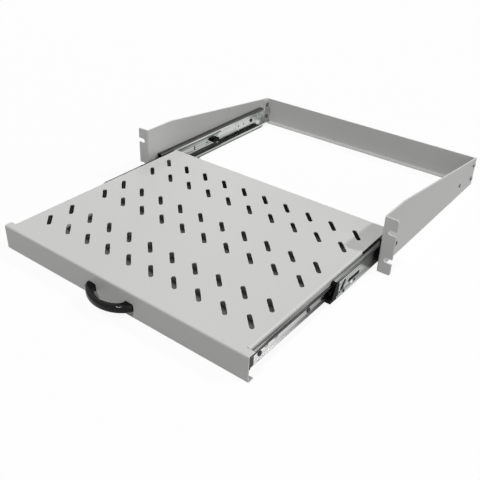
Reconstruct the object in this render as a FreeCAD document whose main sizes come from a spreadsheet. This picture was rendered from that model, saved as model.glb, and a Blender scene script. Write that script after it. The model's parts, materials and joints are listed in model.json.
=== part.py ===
"""A sliding rack shelf, two rack units high, for a 19-inch rack.

A fixed frame (two eared side brackets and a rear panel) carries a slotted tray on a pair of
three-section ball-bearing slides. X runs to the right as seen from the front, Y to the back and
Z up. The origin is midway between the ears, on their mounting face, at the ears' lower edge.
The tray is drawn pulled out, and everything that slides is placed from the tray's travel.
"""
import FreeCAD, Part
import math
import os
from types import SimpleNamespace

import Sketcher

SIDES = {"left": -1, "right": 1}
DIAGONAL = math.sqrt(0.5)
FACETS = 12
X_AXIS = FreeCAD.Vector(1, 0, 0)
Y_AXIS = FreeCAD.Vector(0, 1, 0)
Z_AXIS = FreeCAD.Vector(0, 0, 1)

# Driving sizes in millimetres: name, number, meaning
SIZES = [
    ("ear_span", 482.6, "outer width over both ears"),
    ("ear_height", 88.1, "height of the ears, two rack units"),
    ("ear_corner", 3.0, "radius of the ears' outer corners"),
    ("notch_span", 465.1, "distance between the notch centres across the rack"),
    ("notch_low", 22.2, "height of the lower notch"),
    ("notch_pitch", 44.45, "lower to upper notch"),
    ("notch_height", 7.5, "width of a notch"),
    ("bracket_inside", 440.8, "clear width between the side plates"),
    ("bracket_sheet", 2.0, "sheet of the brackets"),
    ("bracket_bend", 1.0, "inside radius of the ear's bend"),
    ("plate_depth", 352.0, "mounting face to the rear end of a side plate"),
    ("plate_flat", 57.0, "mounting face to where the plate's top edge starts to fall"),
    ("plate_rear_height", 50.6, "height of a side plate at its rear end"),
    ("rear_sheet", 1.5, "sheet of the rear panel"),
    ("rear_height", 50.0, "height of the rear panel"),
    ("rear_flange", 18.0, "depth of the rear panel's end flanges"),
    ("rear_return", 10.0, "depth of the rear panel's bottom return"),
    ("rear_bend", 1.0, "inside radius of the rear panel's bends"),
    ("rear_screw_low", 14.5, "height of the lower rear screw"),
    ("rear_screw_high", 39.5, "height of the upper rear screw"),
    ("tray_travel", 293.6, "way from pulled out to pushed in"),
    ("tray_sheet", 1.5, "sheet of the tray"),
    ("tray_bend", 1.2, "inside radius of the tray's bends"),
    ("deck_top", 39.1, "height of the deck's upper face"),
    ("deck_depth", 347.4, "front face to the deck's back edge"),
    ("front_width", 431.0, "width of the front panel"),
    ("front_bottom", 0.6, "height of the front panel's lower edge"),
    ("front_return", 10.0, "depth of the front panel's bottom return"),
    ("front_hole", 3.4, "diameter of the holes at the return's ends"),
    ("front_hole_inset", 3.0, "hole to the return's end"),
    ("front_hole_back", 4.6, "front face to the holes in the return"),
    ("wing_depth", 11.5, "depth of the deck strip that is as wide as the front panel"),
    ("side_drop", 30.0, "height of the tray's side flanges"),
    ("window_place", 268.0, "front face to the window in a side flange"),
    ("window_length", 70.0, "window in a side flange, front to back"),
    ("window_height", 6.5, "window in a side flange, down from the deck"),
    ("back_drop", 14.0, "height of the tray's back flange"),
    ("relief", 1.5, "bend relief at the corners of the tray"),
    ("slot_length", 28.5, "deck slot, end to end"),
    ("slot_width", 6.5, "deck slot, across"),
    ("slot_pitch", 40.0, "deck slots, side to side"),
    ("slot_columns", 10.0, "deck slots in a row"),
    ("slot_row_gap", 40.0, "the two rows of a pair"),
    ("slot_pair_pitch", 105.0, "one pair of rows to the next"),
    ("slot_pairs", 3.0, "pairs of rows"),
    ("slot_front", 50.5, "front face to the first row"),
    ("handle_width", 81.5, "handle, over its feet"),
    ("handle_reach", 23.5, "handle, out from the front panel"),
    ("handle_grip", 8.3, "thickness of the handle at its middle"),
    ("handle_foot", 14.0, "width of a handle foot"),
    ("handle_shoulder", 12.0, "radius of the handle's outer shoulders"),
    ("handle_inner_shoulder", 8.0, "radius of the handle's inner shoulders"),
    ("handle_height", 10.4, "height of the handle's section"),
    ("handle_edge", 2.4, "bevel of the handle's edges"),
    ("handle_level", 16.8, "height of the handle's middle"),
    ("handle_shift", -3.25, "handle's middle from the panel's middle"),
    ("slide_thickness", 12.7, "a slide, bracket to tray"),
    ("slide_height", 40.0, "a slide's outer member"),
    ("slide_length", 300.0, "a slide's outer member"),
    ("slide_sheet", 1.2, "sheet of the slide members"),
    ("slide_level", 20.7, "height of the slides' middle"),
    ("slide_setback", 19.0, "mounting face to the outer members' front end"),
    ("slide_round", 2.6, "outer rounding of the slide members"),
    ("lip_gap", 2.1, "outer member's lips to the tray"),
    ("mid_gap", 3.0, "outer member's web to the middle member's"),
    ("mid_lip_gap", 0.5, "middle member's lips to the tray"),
    ("inner_depth", 3.3, "inner member, out from the tray"),
    ("mid_length", 286.5, "a slide's middle member"),
    ("mid_travel", 137.3, "way of the middle members, pulled out to pushed in"),
    ("inner_length", 287.9, "a slide's inner member"),
    ("inner_setback", 6.6, "front panel's back face to the inner members"),
    ("outer_ball", 5.0, "balls between outer and middle member"),
    ("inner_ball", 4.6, "balls between middle and inner member"),
    ("raceway_depth", 0.3, "depth of the ball tracks"),
    ("run_gap", 0.3, "clearance between pieces that run past each other"),
    ("seat_gap", 0.05, "clearance between pieces that sit on each other"),
    ("stop_gap", 0.5, "clearance at the stops, pushed in"),
    ("cage_sheet", 0.4, "sheet of the ball cages"),
    ("spare_hole", 24.3, "outer member's spare holes from its screws"),
    ("spare_pitch", 16.7, "outer member's spare holes, one to the next"),
    ("boss_place", 42.5, "rear screw to the front centre of the raised oval about it"),
    ("boss_length", 57.0, "raised oval, between its end centres"),
    ("boss_width", 17.0, "raised oval, across"),
    ("boss_height", 0.4, "raised oval, out from the outer member's web"),
    ("outer_cage_length", 100.0, "cage of the outer balls"),
    ("outer_cage_inset", 6.0, "outer members' front end to the cage, pulled out"),
    ("inner_cage_length", 85.0, "cage of the inner balls"),
    ("inner_cage_inset", 6.0, "middle members' front end to the cage, pulled out"),
    ("balls_in_row", 5.0, "balls in each row of a cage"),
    ("ball_play", 0.1, "clearance of a ball in its window"),
    ("rear_tab", 12.0, "height of the outer member's rear stop"),
    ("key_place", 32.5, "middle member's front end to its key slot"),
    ("key_length", 24.0, "key slot, between its end centres"),
    ("key_width", 4.2, "key slot, across"),
    ("latch_place", 14.5, "middle member's front end to its latch slot"),
    ("latch_rise", 10.2, "height of the latch slot, between its end centres"),
    ("latch_width", 3.0, "latch slot, across"),
    ("mark_place", 69.0, "middle member's rear end to its upright slot"),
    ("mark_height", 7.0, "upright slot, between its end centres"),
    ("mark_width", 2.4, "upright slot, across"),
    ("mid_hole_place", 33.7, "middle member's rear end to its rear hole"),
    ("front_stop_length", 15.0, "plastic front end of the middle member"),
    ("bumper_length", 18.0, "rear bumper of the middle member"),
    ("bumper_height", 7.0, "rear bumper, top to bottom"),
    ("cap_length", 5.2, "plastic cap at the inner member's front end"),
    ("cap_plug", 8.0, "the cap's plug in the inner member"),
    ("cap_rise", 15.0, "the cap's upper corner above the slide's middle"),
    ("cap_drop", 7.0, "the cap's lower edge below the slide's middle"),
    ("cap_hole", 3.0, "cross hole in the cap"),
    ("cap_depth", 4.7, "the cap, out from the tray"),
    ("lever_length", 25.0, "release lever"),
    ("lever_height", 11.0, "release lever at its pivot"),
    ("lever_tail", 5.0, "release lever at its finger end"),
    ("lever_depth", 3.6, "release lever, bracket to tray"),
    ("lever_pivot", 9.0, "lever's rear end to its pivot"),
    ("lever_place", 12.5, "middle member's front end to the lever's rear end, inside it"),
    ("rivet_radius", 1.8, "shank of the lever's rivet"),
    ("rivet_head", 3.0, "head radius of the lever's rivet"),
    ("screw_radius", 2.0, "shank of the frame and slide screws"),
    ("screw_head", 3.6, "head radius of the screws"),
    ("head_height", 2.2, "height of a pan head"),
    ("low_head", 1.6, "height of the outer members' screw heads"),
    ("tray_head", 1.0, "height of the tray screws' heads"),
    ("hole_play", 0.2, "clearance of a screw in its hole"),
    ("nut_width", 7.0, "nut, across the flats"),
    ("nut_height", 3.2, "height of a nut"),
    ("thread_end", 1.0, "how far a screw stands out of its nut or sheet"),
    ("slide_screw_front", 50.5, "mounting face to the outer member's front screw"),
    ("slide_screw_rear", 289.0, "mounting face to the outer member's rear screw"),
    ("inner_screw_front", 22.0, "inner member's front end to its front screw"),
    ("inner_screw_pitch", 102.0, "inner member's screws, one to the next"),
    ("inner_screws", 3.0, "screws of an inner member"),
    ("inner_slot_front", 35.4, "inner member's front end to its first slot"),
    ("inner_slot_pitch", 19.0, "inner member's first slot to its second"),
    ("inner_slot_length", 3.6, "inner member's slots, between their end centres"),
    ("inner_slot_width", 4.4, "inner member's slots, across"),
    ("inner_slot_up", 2.7, "inner member's slots above the slide's middle"),
    ("handle_screw_depth", 8.0, "handle screw into the handle"),
    ("overcut", 1.0, "how far a cut runs past the sheet"),
]

doc = FreeCAD.newDocument("RackShelf")
sheet = doc.addObject("Spreadsheet::Sheet", "Sizes")
for row, (alias, number, meaning) in enumerate(SIZES, start=1):
    sheet.set(f"A{row}", meaning)
    sheet.set(f"B{row}", str(number))
    sheet.setAlias(f"B{row}", alias)
doc.recompute()


class Dim:
    """A length that knows its number and the sheet expression that it comes from."""

    def __init__(self, value, text):
        self.value = float(value)
        self.text = text

    @staticmethod
    def of(thing):
        if isinstance(thing, Dim):
            return thing
        return Dim(thing, repr(float(thing)))

    def __add__(self, other):
        other = Dim.of(other)
        return Dim(self.value + other.value, f"({self.text} + {other.text})")

    def __sub__(self, other):
        other = Dim.of(other)
        return Dim(self.value - other.value, f"({self.text} - {other.text})")

    def __mul__(self, other):
        other = Dim.of(other)
        return Dim(self.value * other.value, f"({self.text} * {other.text})")

    def __truediv__(self, other):
        other = Dim.of(other)
        return Dim(self.value / other.value, f"({self.text} / {other.text})")

    def __neg__(self):
        return self * -1

    def __radd__(self, other):
        return Dim.of(other) + self

    def __rsub__(self, other):
        return Dim.of(other) - self

    def __rmul__(self, other):
        return Dim.of(other) * self


S = SimpleNamespace(**{alias: Dim(sheet.get(alias), f"Sizes.{alias}") for alias, _, _ in SIZES})
ZERO = Dim.of(0)
nodes = []


def count(size):
    """The whole number that a counting cell holds."""
    return int(round(size.value))


def bind(thing, path, size):
    """Ties one property of an object to the sheet."""
    thing.setExpression(path, Dim.of(size).text)


def new_body(label, handed_in=True):
    """An empty body; handed_in says that it is a sub-part by itself."""
    body = doc.addObject("PartDesign::Body", label)
    body.Label = label
    if handed_in:
        nodes.append(body)
    return body


class Outline:
    """Draws shapes in a sketch and ties each point to the sheet."""

    def __init__(self, sketch):
        self.sketch = sketch

    def hold(self, held):
        """Adds constraints in one go; each comes with the size that drives it, or with none."""
        numbers = self.sketch.addConstraint([constraint for constraint, _ in held])
        for number, (_, size) in zip(numbers, held):
            if size is not None:
                bind(self.sketch, f"Constraints[{number}]", size)

    def at(self, geometry, point, x, y):
        """The constraints that hold a point of a curve at x, y."""
        sizes = (("DistanceX", Dim.of(x)), ("DistanceY", Dim.of(y)))
        return [(Sketcher.Constraint(kind, -1, 1, geometry, point, size.value), size) for kind, size in sizes]

    def radius(self, geometry, size):
        """The constraint that holds the radius of a circle or an arc."""
        return [(Sketcher.Constraint("Radius", geometry, size.value), size)]

    def joined(self, kind, *ends):
        """The constraint that joins the ends of two curves."""
        return [(Sketcher.Constraint(kind, *ends), None)]

    def polygon(self, points):
        """A closed outline of straight edges."""
        points = [(Dim.of(x), Dim.of(y)) for x, y in points]
        spots = [FreeCAD.Vector(x.value, y.value, 0) for x, y in points]
        ends = spots[1:] + spots[:1]
        lines = [self.sketch.addGeometry(Part.LineSegment(a, b)) for a, b in zip(spots, ends)]
        held = []
        for line, following in zip(lines, lines[1:] + lines[:1]):
            held += self.joined("Coincident", line, 2, following, 1)
        for line, (x, y) in zip(lines, points):
            held += self.at(line, 1, x, y)
        self.hold(held)

    def rectangle(self, x1, y1, x2, y2):
        """A rectangle between two corners."""
        self.polygon([(x1, y1), (x2, y1), (x2, y2), (x1, y2)])

    def circle(self, x, y, radius):
        """A circle about x, y."""
        x, y = Dim.of(x), Dim.of(y)
        centre = FreeCAD.Vector(x.value, y.value, 0)
        made = self.sketch.addGeometry(Part.Circle(centre, Z_AXIS, radius.value))
        self.hold(self.at(made, 3, x, y) + self.radius(made, radius))

    def ring(self, x, y, radius, sides=FACETS):
        """A many-sided hole or bar about x, y."""
        turns = [2 * math.pi * (i + 0.5) / sides for i in range(sides)]
        self.polygon([(x + radius * math.cos(turn), y + radius * math.sin(turn)) for turn in turns])

    def long_ring(self, x1, y1, x2, y2, radius, steps=FACETS // 2):
        """A slot whose ends, about x1, y1 and x2, y2, are half rings."""
        ends = [(Dim.of(x1), Dim.of(y1)), (Dim.of(x2), Dim.of(y2))]
        run = math.atan2(ends[1][1].value - ends[0][1].value, ends[1][0].value - ends[0][0].value)
        points = []
        for (x, y), start in zip(ends, (run + math.pi / 2, run - math.pi / 2)):
            turns = [start + math.pi * i / steps for i in range(steps + 1)]
            points += [(x + radius * math.cos(turn), y + radius * math.sin(turn)) for turn in turns]
        self.polygon(points)

    def bow(self, x, y, half, reach, shoulder):
        """A bow that stands out to the front from a straight foot line.

        The middle of the foot line is x, y; half is its half length. Two shoulder arcs leave it
        squarely and run into one wide arc, whose radius follows from the reach.
        """
        offset = half - shoulder
        wide = (offset * offset + reach * reach - shoulder * shoulder) / (2 * (reach - shoulder))
        middle = FreeCAD.Vector(x.value, (y - reach + wide).value, 0)
        meet = math.atan2((reach - wide).value, offset.value)
        plans = [
            (FreeCAD.Vector((x - offset).value, y.value, 0), shoulder, -math.pi, -math.pi - meet),
            (middle, wide, -math.pi - meet, meet),
            (FreeCAD.Vector((x + offset).value, y.value, 0), shoulder, meet, 0),
        ]
        arcs = []
        for centre, radius, start, end in plans:
            circle = Part.Circle(centre, Z_AXIS, radius.value)
            arcs.append(self.sketch.addGeometry(Part.ArcOfCircle(circle, start, end)))
        feet = [FreeCAD.Vector((x + sign * half).value, y.value, 0) for sign in (1, -1)]
        line = self.sketch.addGeometry(Part.LineSegment(*feet))
        held = self.joined("Tangent", arcs[0], 2, arcs[1], 1) + self.joined("Tangent", arcs[1], 2, arcs[2], 1)
        held += self.joined("Coincident", arcs[2], 2, line, 1)
        held += self.joined("Coincident", line, 2, arcs[0], 1)
        for point in (1, 2):
            held.append((Sketcher.Constraint("DistanceY", -1, 1, line, point, y.value), y))
        held += self.at(arcs[0], 3, x - offset, y) + self.at(arcs[2], 3, x + offset, y)
        for arc, radius in zip(arcs, (shoulder, wide, shoulder)):
            held += self.radius(arc, radius)
        self.hold(held)

    def slot(self, x1, y1, x2, y2, radius):
        """A slot with round ends whose centres are x1, y1 and x2, y2."""
        ends = [(Dim.of(x1), Dim.of(y1)), (Dim.of(x2), Dim.of(y2))]
        first, last = [FreeCAD.Vector(x.value, y.value, 0) for x, y in ends]
        run = last - first
        turn = math.atan2(run.y, run.x)
        side = FreeCAD.Vector(-run.y, run.x, 0).normalize() * radius.value
        arcs = []
        for centre, start in ((first, turn + math.pi / 2), (last, turn - math.pi / 2)):
            circle = Part.Circle(centre, Z_AXIS, radius.value)
            arc = Part.ArcOfCircle(circle, start, start + math.pi)
            arcs.append(self.sketch.addGeometry(arc))
        low = self.sketch.addGeometry(Part.LineSegment(first - side, last - side))
        high = self.sketch.addGeometry(Part.LineSegment(last + side, first + side))
        joints = [(arcs[0], 2, low, 1), (low, 2, arcs[1], 1), (arcs[1], 2, high, 1), (high, 2, arcs[0], 1)]
        held = []
        for joint in joints:
            held += self.joined("Tangent", *joint)
        held += self.joined("Equal", *arcs)
        for arc, (x, y) in zip(arcs, ends):
            held += self.at(arc, 3, x, y)
        self.hold(held + self.radius(arcs[0], radius))


def sketch_on(body, name, plane, level):
    """A sketch parallel to one of the body's planes, at a level along that plane's axis."""
    sketch = body.newObject("Sketcher::SketchObject", name)
    support = [f for f in body.Origin.OriginFeatures if f.Role == f"{plane}_Plane"][0]
    sketch.AttachmentSupport = (support, [""])
    sketch.MapMode = "FlatFace"
    # The XZ plane faces the front, so its levels count the other way
    bind(sketch, "AttachmentOffset.Base.z", -level if plane == "XZ" else Dim.of(level))
    return sketch


def swept(body, name, kind, plane, ends, draw):
    """A Pad or Pocket between two levels along the plane's axis."""
    low, high = sorted((Dim.of(end) for end in ends), key=lambda size: size.value)
    grows_up = (kind == "Pad") == (plane != "XZ")
    sketch = sketch_on(body, f"{name}_outline", plane, low if grows_up else high)
    draw(Outline(sketch))
    feature = body.newObject(f"PartDesign::{kind}", name)
    feature.Profile = sketch
    bind(feature, "Length", high - low)
    doc.recompute()
    return feature


def pad(body, name, plane, ends, draw):
    """Adds material between two levels."""
    return swept(body, name, "Pad", plane, ends, draw)


def pocket(body, name, plane, ends, draw):
    """Cuts material between two levels, and makes sure that it did."""
    before = body.Shape.Volume
    feature = swept(body, name, "Pocket", plane, ends, draw)
    if not body.Shape.Volume < before:
        raise RuntimeError(f"{body.Label}: {name} cuts nothing")
    return feature


def edges_along(shape, axis, places):
    """Names of the straight edges along an axis that pass through the given places.

    A place holds the edge's other two coordinates, in X, Y, Z order.
    """
    others = [i for i in range(3) if i != "XYZ".index(axis)]
    found = []
    for number, edge in enumerate(shape.Edges, start=1):
        if not isinstance(edge.Curve, Part.Line):
            continue
        start, end = [vertex.Point for vertex in (edge.Vertexes[0], edge.Vertexes[-1])]
        if any(abs(start[i] - end[i]) > 1e-4 for i in others):
            continue
        for place in places:
            if all(abs(start[i] - Dim.of(size).value) < 1e-3 for i, size in zip(others, place)):
                found.append(f"Edge{number}")
    return found


def rounded(body, name, axis, places, radius):
    """Rounds the edges along an axis at the given places."""
    base = body.Tip
    names = edges_along(base.Shape, axis, places)
    if not names:
        raise RuntimeError(f"{body.Label}: {name} finds no edge")
    feature = body.newObject("PartDesign::Fillet", name)
    feature.Base = (base, names)
    bind(feature, "Radius", radius)
    doc.recompute()
    return feature


def patterned(body, name, cut, runs):
    """Repeats a cut along the axes: each run is an axis of the sketch, a length and a count."""
    grid = body.newObject("PartDesign::MultiTransform", name)
    grid.Originals = [cut]
    steps = []
    for number, (axis, length, copies) in enumerate(runs, start=1):
        step = doc.addObject("PartDesign::LinearPattern", f"{name}_run{number}")
        body.addObject(step)
        step.Direction = (cut.Profile[0], [axis])
        bind(step, "Length", length)
        bind(step, "Occurrences", copies)
        steps.append(step)
    grid.Transformations = steps
    body.Tip = grid
    doc.recompute()
    return grid


def stacked(name, bars):
    """A fastener along +X, from many-sided bars: two ends, a radius, sides and a taper."""
    body = new_body(name, handed_in=False)
    for number, (start, end, radius, sides, taper) in enumerate(bars, start=1):
        bar = pad(body, f"{name}_bar{number}", "YZ", (start, end),
                  lambda draw: draw.ring(ZERO, ZERO, radius, sides))
        bar.TaperAngle = taper
    doc.recompute()
    return body


def group(label, master, places):
    """One sub-part made of separate copies of a master piece.

    A place is a point and the direction that the master's +X axis takes.
    """
    copies = []
    for point, direction in places:
        copy = master.Shape.copy()
        spot = FreeCAD.Vector(*(Dim.of(size).value for size in point))
        copy.Placement = FreeCAD.Placement(spot, FreeCAD.Rotation(X_AXIS, direction))
        copies.append(copy)
    feature = doc.addObject("Part::Feature", label)
    feature.Label = label
    feature.Shape = Part.makeCompound(copies)
    nodes.append(feature)
    return feature


# Places that several pieces share
PLATE_INNER = S.bracket_inside / 2
PLATE_OUTER = PLATE_INNER + S.bracket_sheet
EAR_FRONT = -S.bracket_sheet
REAR_SCREW_Y = S.plate_depth - S.rear_flange / 2
REAR_SCREW_LEVELS = [S.rear_screw_low, S.rear_screw_high]
SLIDE_SCREWS_Y = [S.slide_screw_front, S.slide_screw_rear]
SCREW_HOLE = S.screw_radius + S.hole_play

FRONT_FACE = EAR_FRONT - S.tray_travel
FRONT_BACK = FRONT_FACE + S.tray_sheet
WING_END = FRONT_FACE + S.wing_depth
DECK_BACK = FRONT_FACE + S.deck_depth
DECK_UNDER = S.deck_top - S.tray_sheet
TRAY_SIDE = PLATE_INNER - S.slide_thickness
SIDE_BOTTOM = S.deck_top - S.side_drop

HANDLE_SCREWS_X = [S.handle_shift + side * (S.handle_width - S.handle_foot) / 2 for side in SIDES.values()]

# Across a slide, from the bracket's face towards the tray
MID_OUT = S.slide_sheet + S.mid_gap
MID_IN = MID_OUT + S.slide_sheet
MID_LIP = S.slide_thickness - S.mid_lip_gap
OUTER_LIP = S.slide_thickness - S.lip_gap
OUTER_CURL = OUTER_LIP - S.slide_sheet
OUTER_TRACK = S.outer_ball / 2 + S.run_gap
OUTER_BALL_ACROSS = OUTER_CURL - OUTER_TRACK - S.run_gap
OUTER_CAGE_IN = MID_OUT - S.run_gap - S.cage_sheet
INNER_LIP = S.slide_thickness - S.inner_depth
INNER_BACK = S.slide_thickness - S.seat_gap
INNER_WEB = INNER_BACK - S.slide_sheet
INNER_BALL_ACROSS = S.slide_thickness - S.inner_ball / 2 - S.run_gap
INNER_CAGE_IN = MID_IN + S.run_gap

# Up from a slide's middle
OUTER_TOP = S.slide_height / 2
OUTER_BALL_UP = OUTER_TOP - S.slide_sheet + S.raceway_depth - OUTER_TRACK
MID_TOP = OUTER_BALL_UP - OUTER_TRACK + S.raceway_depth
INNER_TRACK = S.inner_ball / 2 + S.run_gap
INNER_BALL_UP = MID_TOP - S.slide_sheet + S.raceway_depth - INNER_TRACK
INNER_TOP = INNER_BALL_UP - INNER_TRACK + S.raceway_depth
OUTER_CURL_END = MID_TOP + S.run_gap

# Along the slides, pulled out
OUTER_FRONT = S.slide_setback
OUTER_REAR = OUTER_FRONT + S.slide_length
MID_REAR = OUTER_REAR - S.slide_sheet - S.stop_gap - S.mid_travel
MID_FRONT = MID_REAR - S.mid_length
INNER_FRONT = FRONT_BACK + S.inner_setback
INNER_REAR = INNER_FRONT + S.inner_length
BUMPER_FRONT = INNER_REAR + S.tray_travel - S.mid_travel + S.stop_gap
INNER_SCREWS_Y = [
    INNER_FRONT + S.inner_screw_front + S.inner_screw_pitch * i for i in range(count(S.inner_screws))
]
LEVER_REAR = MID_FRONT + S.lever_place
LEVER_PIVOT_Y = LEVER_REAR - S.lever_pivot


def across(side, distance):
    """X of a place at a distance from the bracket's inner face, towards the tray."""
    return side * (PLATE_INNER - distance)


def up(height):
    """Z of a place above a slide's middle."""
    return S.slide_level + height


def build_bracket(hand, side):
    """Side plate with its ear, folded from one sheet."""
    body = new_body(f"{hand}_bracket")
    tip = side * S.ear_span / 2
    inner, outer = side * PLATE_INNER, side * PLATE_OUTER
    pad(body, f"{hand}_plate", "YZ", (inner, outer), lambda draw: draw.polygon([
        (EAR_FRONT, 0),
        (S.plate_depth, 0),
        (S.plate_depth, S.plate_rear_height),
        (S.plate_flat, S.ear_height),
        (EAR_FRONT, S.ear_height),
    ]))
    pad(body, f"{hand}_ear", "XZ", (EAR_FRONT, ZERO),
        lambda draw: draw.rectangle(inner, 0, tip, S.ear_height))
    rounded(body, f"{hand}_bend_inside", "Z", [(outer, ZERO)], S.bracket_bend)
    rounded(body, f"{hand}_bend_outside", "Z", [(inner, EAR_FRONT)], S.bracket_bend + S.bracket_sheet)
    rounded(body, f"{hand}_ear_corners", "Y", [(tip, ZERO), (tip, S.ear_height)], S.ear_corner)

    def notches(draw):
        for level in (S.notch_low, S.notch_low + S.notch_pitch):
            draw.slot(side * S.notch_span / 2, level, tip + side * S.notch_height, level, S.notch_height / 2)

    def holes(draw):
        for y in SLIDE_SCREWS_Y:
            draw.ring(y, S.slide_level, SCREW_HOLE)
        for level in REAR_SCREW_LEVELS:
            draw.ring(REAR_SCREW_Y, level, SCREW_HOLE)

    pocket(body, f"{hand}_notches", "XZ", (EAR_FRONT - S.overcut, S.overcut), notches)
    pocket(body, f"{hand}_screw_holes", "YZ",
           (inner - side * S.overcut, outer + side * S.overcut), holes)


def build_rear_panel():
    """Cross panel at the back, with flanges screwed to the side plates and a bottom return."""
    body = new_body("rear_panel")
    half = PLATE_INNER - S.seat_gap
    inside = half - S.rear_sheet
    face, front = S.plate_depth, S.plate_depth - S.rear_flange
    back = face - S.rear_sheet
    pad(body, "rear_channel", "XY", (ZERO, S.rear_height), lambda draw: draw.polygon([
        (-half, front), (-half, face), (half, face), (half, front),
        (inside, front), (inside, back), (-inside, back), (-inside, front),
    ]))
    rounded(body, "rear_bends_outside", "Z", [(half, face), (-half, face)], S.rear_bend + S.rear_sheet)
    rounded(body, "rear_bends_inside", "Z", [(inside, back), (-inside, back)], S.rear_bend)
    edge = inside - S.rear_bend - S.relief
    pad(body, "rear_bottom_return", "XY", (ZERO, S.rear_sheet),
        lambda draw: draw.rectangle(-edge, face - S.rear_return, edge, back + S.rear_sheet / 2))

    def holes(draw):
        for level in REAR_SCREW_LEVELS:
            draw.ring(REAR_SCREW_Y, level, SCREW_HOLE)

    pocket(body, "rear_screw_holes", "YZ", (-PLATE_OUTER, PLATE_OUTER), holes)


def build_tray():
    """Slotted deck, front panel, flanges and returns, folded from one sheet."""
    body = new_body("tray")
    half = S.front_width / 2
    outside_radius = S.tray_bend + S.tray_sheet
    notch = TRAY_SIDE - outside_radius - S.relief / 2
    start = WING_END + S.relief
    right = [
        (half, FRONT_FACE), (half, WING_END), (notch, WING_END),
        (notch, start), (TRAY_SIDE, start), (TRAY_SIDE, DECK_BACK),
    ]
    left = [(-x, y) for x, y in reversed(right)]
    pad(body, "deck", "XY", (DECK_UNDER, S.deck_top), lambda draw: draw.polygon(right + left))
    pad(body, "front_panel", "XZ", (FRONT_FACE, FRONT_BACK),
        lambda draw: draw.rectangle(-half, S.front_bottom, half, S.deck_top))
    pad(body, "front_bottom_return", "XY", (S.front_bottom, S.front_bottom + S.tray_sheet),
        lambda draw: draw.rectangle(-half, FRONT_FACE, half, FRONT_FACE + S.front_return))
    for hand, side in SIDES.items():
        pad(body, f"{hand}_flange", "YZ", (side * TRAY_SIDE, side * (TRAY_SIDE - S.tray_sheet)),
            lambda draw: draw.rectangle(start, SIDE_BOTTOM, DECK_BACK, S.deck_top))
    inside = TRAY_SIDE - S.tray_sheet - S.relief
    pad(body, "back_flange", "XZ", (DECK_BACK, DECK_BACK - S.tray_sheet),
        lambda draw: draw.rectangle(-inside, S.deck_top - S.back_drop, inside, S.deck_top))
    rounded(body, "front_bends", "X",
            [(FRONT_FACE, S.deck_top), (FRONT_FACE, S.front_bottom)], outside_radius)
    rounded(body, "front_bends_inside", "X",
            [(FRONT_BACK, DECK_UNDER), (FRONT_BACK, S.front_bottom + S.tray_sheet)], S.tray_bend)
    rounded(body, "side_bends", "Y", [(TRAY_SIDE, S.deck_top), (-TRAY_SIDE, S.deck_top)], outside_radius)
    flange_inside = TRAY_SIDE - S.tray_sheet
    rounded(body, "side_bends_inside", "Y",
            [(flange_inside, DECK_UNDER), (-flange_inside, DECK_UNDER)], S.tray_bend)

    window = FRONT_FACE + S.window_place
    pocket(body, "side_windows", "YZ", (-TRAY_SIDE - S.overcut, TRAY_SIDE + S.overcut),
           lambda draw: draw.rectangle(window, DECK_UNDER - S.window_height,
                                       window + S.window_length, DECK_UNDER))

    slot_x = S.slot_pitch * (S.slot_columns - 1) / 2
    slot_y = FRONT_FACE + S.slot_front
    run = (S.slot_length - S.slot_width) / 2 * DIAGONAL
    above, below = S.deck_top + S.overcut, DECK_UNDER - S.overcut
    first = pocket(body, "first_slot", "XY", (below, above), lambda draw: draw.long_ring(
        -slot_x - run, slot_y + run, -slot_x + run, slot_y - run, S.slot_width / 2))
    patterned(body, "slots", first, [
        ("H_Axis", S.slot_pitch * (S.slot_columns - 1), S.slot_columns),
        ("V_Axis", S.slot_row_gap, Dim.of(2)),
        ("V_Axis", S.slot_pair_pitch * (S.slot_pairs - 1), S.slot_pairs),
    ])

    def return_holes(draw):
        for side in SIDES.values():
            draw.circle(side * (half - S.front_hole_inset), FRONT_FACE + S.front_hole_back, S.front_hole / 2)

    def handle_holes(draw):
        for x in HANDLE_SCREWS_X:
            draw.ring(x, S.handle_level, SCREW_HOLE)

    def flange_holes(draw):
        for y in INNER_SCREWS_Y:
            draw.ring(y, S.slide_level, SCREW_HOLE)

    pocket(body, "return_holes", "XY",
           (S.front_bottom - S.overcut, S.front_bottom + S.tray_sheet + S.overcut), return_holes)
    pocket(body, "handle_holes", "XZ", (FRONT_FACE - S.overcut, FRONT_BACK + S.overcut), handle_holes)
    pocket(body, "flange_holes", "YZ", (-TRAY_SIDE - S.overcut, TRAY_SIDE + S.overcut), flange_holes)


def build_handle():
    """Moulded bow handle on the front panel, held by two screws from behind."""
    body = new_body("handle")
    foot = FRONT_FACE - S.seat_gap
    low = S.handle_level - S.handle_height / 2
    high = S.handle_level + S.handle_height / 2
    half = S.handle_width / 2
    pad(body, "handle_outside", "XY", (low, high), lambda draw: draw.bow(
        S.handle_shift, foot, half, S.handle_reach, S.handle_shoulder))
    pocket(body, "handle_opening", "XY", (low - S.overcut, high + S.overcut), lambda draw: draw.bow(
        S.handle_shift, foot, half - S.handle_foot, S.handle_reach - S.handle_grip, S.handle_inner_shoulder))
    curved = [f"Edge{number}" for number, edge in enumerate(body.Shape.Edges, start=1)
              if isinstance(edge.Curve, Part.Circle)]
    ring = body.Tip
    soft = body.newObject("PartDesign::Chamfer", "handle_soft_edges")
    soft.Base = (ring, curved)
    bind(soft, "Size", S.handle_edge)
    doc.recompute()

    def holes(draw):
        for x in HANDLE_SCREWS_X:
            draw.ring(x, S.handle_level, S.screw_radius + S.seat_gap)

    pocket(body, "handle_screw_holes", "XZ", (foot - S.handle_screw_depth, FRONT_FACE + S.overcut), holes)


def mirrored(side, half):
    """Section of a slide member, from the places of its upper half."""
    lower = [(distance, -height) for distance, height in reversed(half)]
    return [(across(side, distance), up(height)) for distance, height in half + lower]


def corners(side, *places):
    """Edges of a slide member, above and below its middle."""
    return [
        (across(side, distance), up(sign * height)) for distance, height in places for sign in (1, -1)
    ]


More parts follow.
